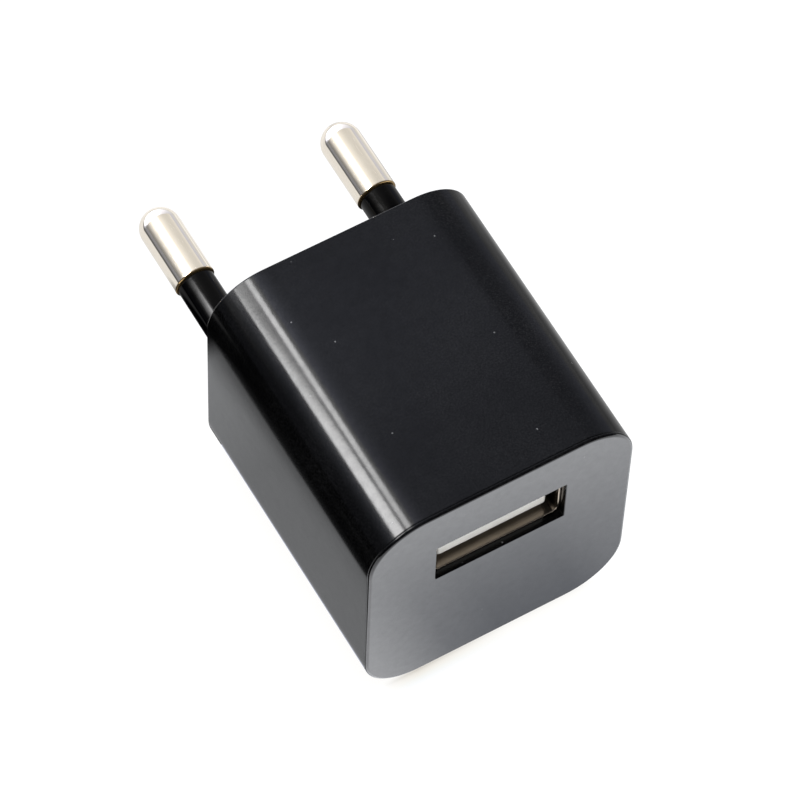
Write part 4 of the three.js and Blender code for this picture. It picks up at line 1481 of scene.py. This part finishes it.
def left_floor():
    """Shaded beside the casing, and open beyond a slanted line behind it."""
    g = Glow("left_card")
    beside = g.graph(g.along(Vector((1.0, -0.05, 0.0))), [
        (-0.200, 0.10), (-0.095, 0.07), (-0.061, 0.03), (-0.050, 0.008), (-0.034, 0.008), (-0.029, 0.025),
        (-0.0235, 0.035), (-0.0212, 0.055), (-0.0199, 0.10), (-0.0191, 0.32), (-0.0185, 0.66),
        (-0.0133, 0.66)], colour=(0.96, 0.975, 1.0))
    back = g.graph(g.along(ALONG), [(-0.004, 0.7), (0.002, 0.85), (0.0085, 1.0), (0.0105, 0.03)])
    open_floor = g.graph(g.along(ACROSS), [(-0.090, 0.0), (-0.070, 0.6)])
    behind = g.graph(g.along(Vector((0.25, 1.0, 0.0))), [(0.0115, 0.0), (0.0145, 1.0)])
    return g.gives(g.mix(1.0, g.product(beside, back), g.product(open_floor, behind), "LIGHTEN"), 1.4)


def right_floor():
    g = Glow("right_card")
    top, most = 0.70, 1.35
    across = g.graph(g.along(ACROSS), [
        (SIDE, 0.48), (0.025, 0.54), (0.031, 0.70), (0.039, 0.70), (0.045, 0.64), (0.054, 0.53),
        (0.066, 0.48), (0.090, 0.41), (0.300, 0.38)], top)
    along = g.graph(g.along(ALONG), [
        (FRONT, 0.75), (-0.014, 0.8), (0.0, 1.0), (0.014, 0.85), (0.022, 0.9), (0.030, 1.35),
        (0.1, 1.35)], most)
    return g.gives(g.product(across, along), top * most)


def back_floor():
    g = Glow("back_card")
    top = 0.95
    return g.gives(g.graph(g.along(ALONG), [
        (0.0, 0.01), (0.0135, 0.02), (0.0165, 0.85), (0.050, 0.95), (0.100, 0.6), (0.300, 0.4)], top), top)


panel("card_front", CARD_LEVEL, (-REACH, REACH), (FRONT - REACH, FRONT), front_floor())
panel("card_left", CARD_LEVEL, (-REACH, -SIDE), (FRONT, REACH), left_floor())
panel("card_right", CARD_LEVEL, (SIDE, REACH), (FRONT, REACH), right_floor())
panel("card_back", CARD_LEVEL, (-SIDE, SIDE), (0.0, REACH), back_floor())

FLOOR_REACH = 2
PAPER = (1.0, 0.99, 0.96)
# Where the painted contact shadow lies on the floor, in front of and across the casing.
SHADOW_FRONT, SHADOW_BACK, SHADOW_SIDE = FRONT - 1.6 * MM, FRONT + 0.4 * MM, SIDE + 0.4 * MM


def floor():
    """White paper, with a painted warm shadow where the front edge of the casing lies on it."""
    f = Finish("floor_white")
    f.colour(f.cloud(6.0, (0.06, 0.065, 0.08), (0.07, 0.075, 0.09), detail=3.0))
    f.set(Roughness=0.9, Specular_IOR_Level=0.0, Emission_Strength=0.95)
    place = f.split()
    paper = f.cloud(9.0, (1.0, 0.985, 0.95), PAPER, detail=3.0)
    # Painted shadow: the paper darkens to a warm grey in a narrow band in front of the casing's front edge,
    # strongest towards its left.
    painted_shadow = f.ramp(f.span(place["Y"], 0.0, 1.0, SHADOW_FRONT, SHADOW_BACK), [
        (0.0, PAPER), (0.24, (0.93, 0.94, 0.93)), (0.42, (0.89, 0.89, 0.84)), (0.56, (0.86, 0.83, 0.75)),
        (0.67, (0.80, 0.76, 0.68)), (0.80, (0.62, 0.58, 0.50)), (1.0, PAPER)])
    shares = [(0.08, 0.0), (0.16, 0.75), (0.21, 1.0), (0.36, 0.7), (0.55, 0.25), (0.94, 0.15), (1.0, 0.0)]
    beside = f.ramp(f.span(place["X"], 0.0, 1.0, -SHADOW_SIDE, SHADOW_SIDE), [(at, grey(s)) for at, s in shares])
    f.link(f.mix(beside, paper, painted_shadow), f.shader.inputs["Emission Color"])
    return panel("floor", FLOOR_LEVEL, (-FLOOR_REACH, FLOOR_REACH), (-FLOOR_REACH, FLOOR_REACH), f.material,
                 camera=True, glossy=False, diffuse=True, shadow=True)


floor()


def area_light(name, place, target, size, power):
    """A round light that the glossy surfaces do not see."""
    data = bpy.data.lights.new(name, "AREA")
    data.shape = "DISK"
    data.size = size
    data.energy = power
    lamp = added(name, data)
    lamp.location = place
    lamp.rotation_mode = "QUATERNION"
    lamp.rotation_quaternion = (Vector(place) - Vector(target)).to_track_quat("Z", "Y")
    lamp.visible_camera = False
    lamp.visible_glossy = False
    return lamp


area_light("fill", (-0.15, -0.25, 0.5), (0, FRONT, 0), 0.4, 2.6)
area_light("flood", (0.6, 0.1, 0.65), (0, 0, 0), 0.8, 17.0)


def world():
    """Light from all round: dim on the right, dark far to the left and low in front, bright behind."""
    made = bpy.data.worlds.new("studio")
    bpy.context.scene.world = made
    made.use_nodes = True
    w = Nodes(made.node_tree)
    w.place = w.node("ShaderNodeTexCoord").outputs["Generated"]
    background = w.tree.nodes["Background"]
    top, most = 1.6, 2.5
    across = w.graph(w.along(ACROSS), [
        (-1.0, 0.10), (-0.90, 0.11), (-0.87, 0.17), (-0.84, 0.31), (-0.79, 0.55), (-0.73, 1.0), (-0.50, 1.6),
        (0.0, 1.4), (0.15, 1.08), (0.27, 0.80), (0.40, 0.60), (0.49, 0.51), (0.60, 0.49), (0.70, 0.44),
        (0.82, 0.42), (0.90, 0.50), (1.0, 0.55)], top, sky_share)
    back = w.graph(w.along(ALONG), [
        (-1.0, 0.15), (0.0, 0.18), (0.25, 0.45), (0.40, 1.0), (0.46, 1.0), (0.6, 1.5), (1.0, most)], most)
    w.link(w.product(across, back), background.inputs["Color"])
    background.inputs["Strength"].default_value = top * most * SKY_BLUE


world()

DOME_RADIUS = 1.5
DOME_SEGMENTS = 48


def backdrop():
    """A pale dome round the floor that only the camera sees."""
    bm = bmesh.new()
    bmesh.ops.create_uvsphere(bm, u_segments=DOME_SEGMENTS, v_segments=DOME_SEGMENTS // 2, radius=DOME_RADIUS)
    pale = Glow("backdrop_pale")
    pale.emission.inputs["Color"].default_value = (0.98, 0.98, 0.98, 1)
    made = hung("backdrop", mesh_of("backdrop", bm), pale.material, camera=True, glossy=False)
    made.visible_transmission = False
    made.visible_volume_scatter = False


backdrop()


# ---- Camera -----------------------------------------------------------------------------------

CAMERA_AZIMUTH = math.radians(-32.387)
CAMERA_ELEVATION = math.radians(59.858)
CAMERA_ROLL = math.radians(2.769)
CAMERA_DISTANCE = 480.1 * MM
CAMERA_TARGET = Vector((1.701, -8.818, -3.797)) * MM
CAMERA_LENS = 239.0
CAMERA_SENSOR = 36.0
CAMERA_NEAREST, CAMERA_FARTHEST = 0.01, 20.0


def camera():
    """Looks at the target from the given azimuth and elevation, rolled about its own line of sight."""
    a, e = CAMERA_AZIMUTH, CAMERA_ELEVATION
    back = Vector((math.sin(a) * math.cos(e), -math.cos(a) * math.cos(e), math.sin(e)))
    right = Vector((0, 0, 1)).cross(back).normalized()
    up = back.cross(right)
    turn = Matrix.Rotation(CAMERA_ROLL, 3, back)
    right, up = turn @ right, turn @ up
    data = bpy.data.cameras.new("camera")
    data.lens = CAMERA_LENS
    data.sensor_width = CAMERA_SENSOR
    data.clip_start, data.clip_end = CAMERA_NEAREST, CAMERA_FARTHEST
    made = added("camera", data)
    place = CAMERA_TARGET + back * CAMERA_DISTANCE
    made.matrix_world = Matrix.Translation(place) @ Matrix((right, up, back)).transposed().to_4x4()
    bpy.context.scene.camera = made


camera()
bpy.context.scene.view_settings.view_transform = "Standard"
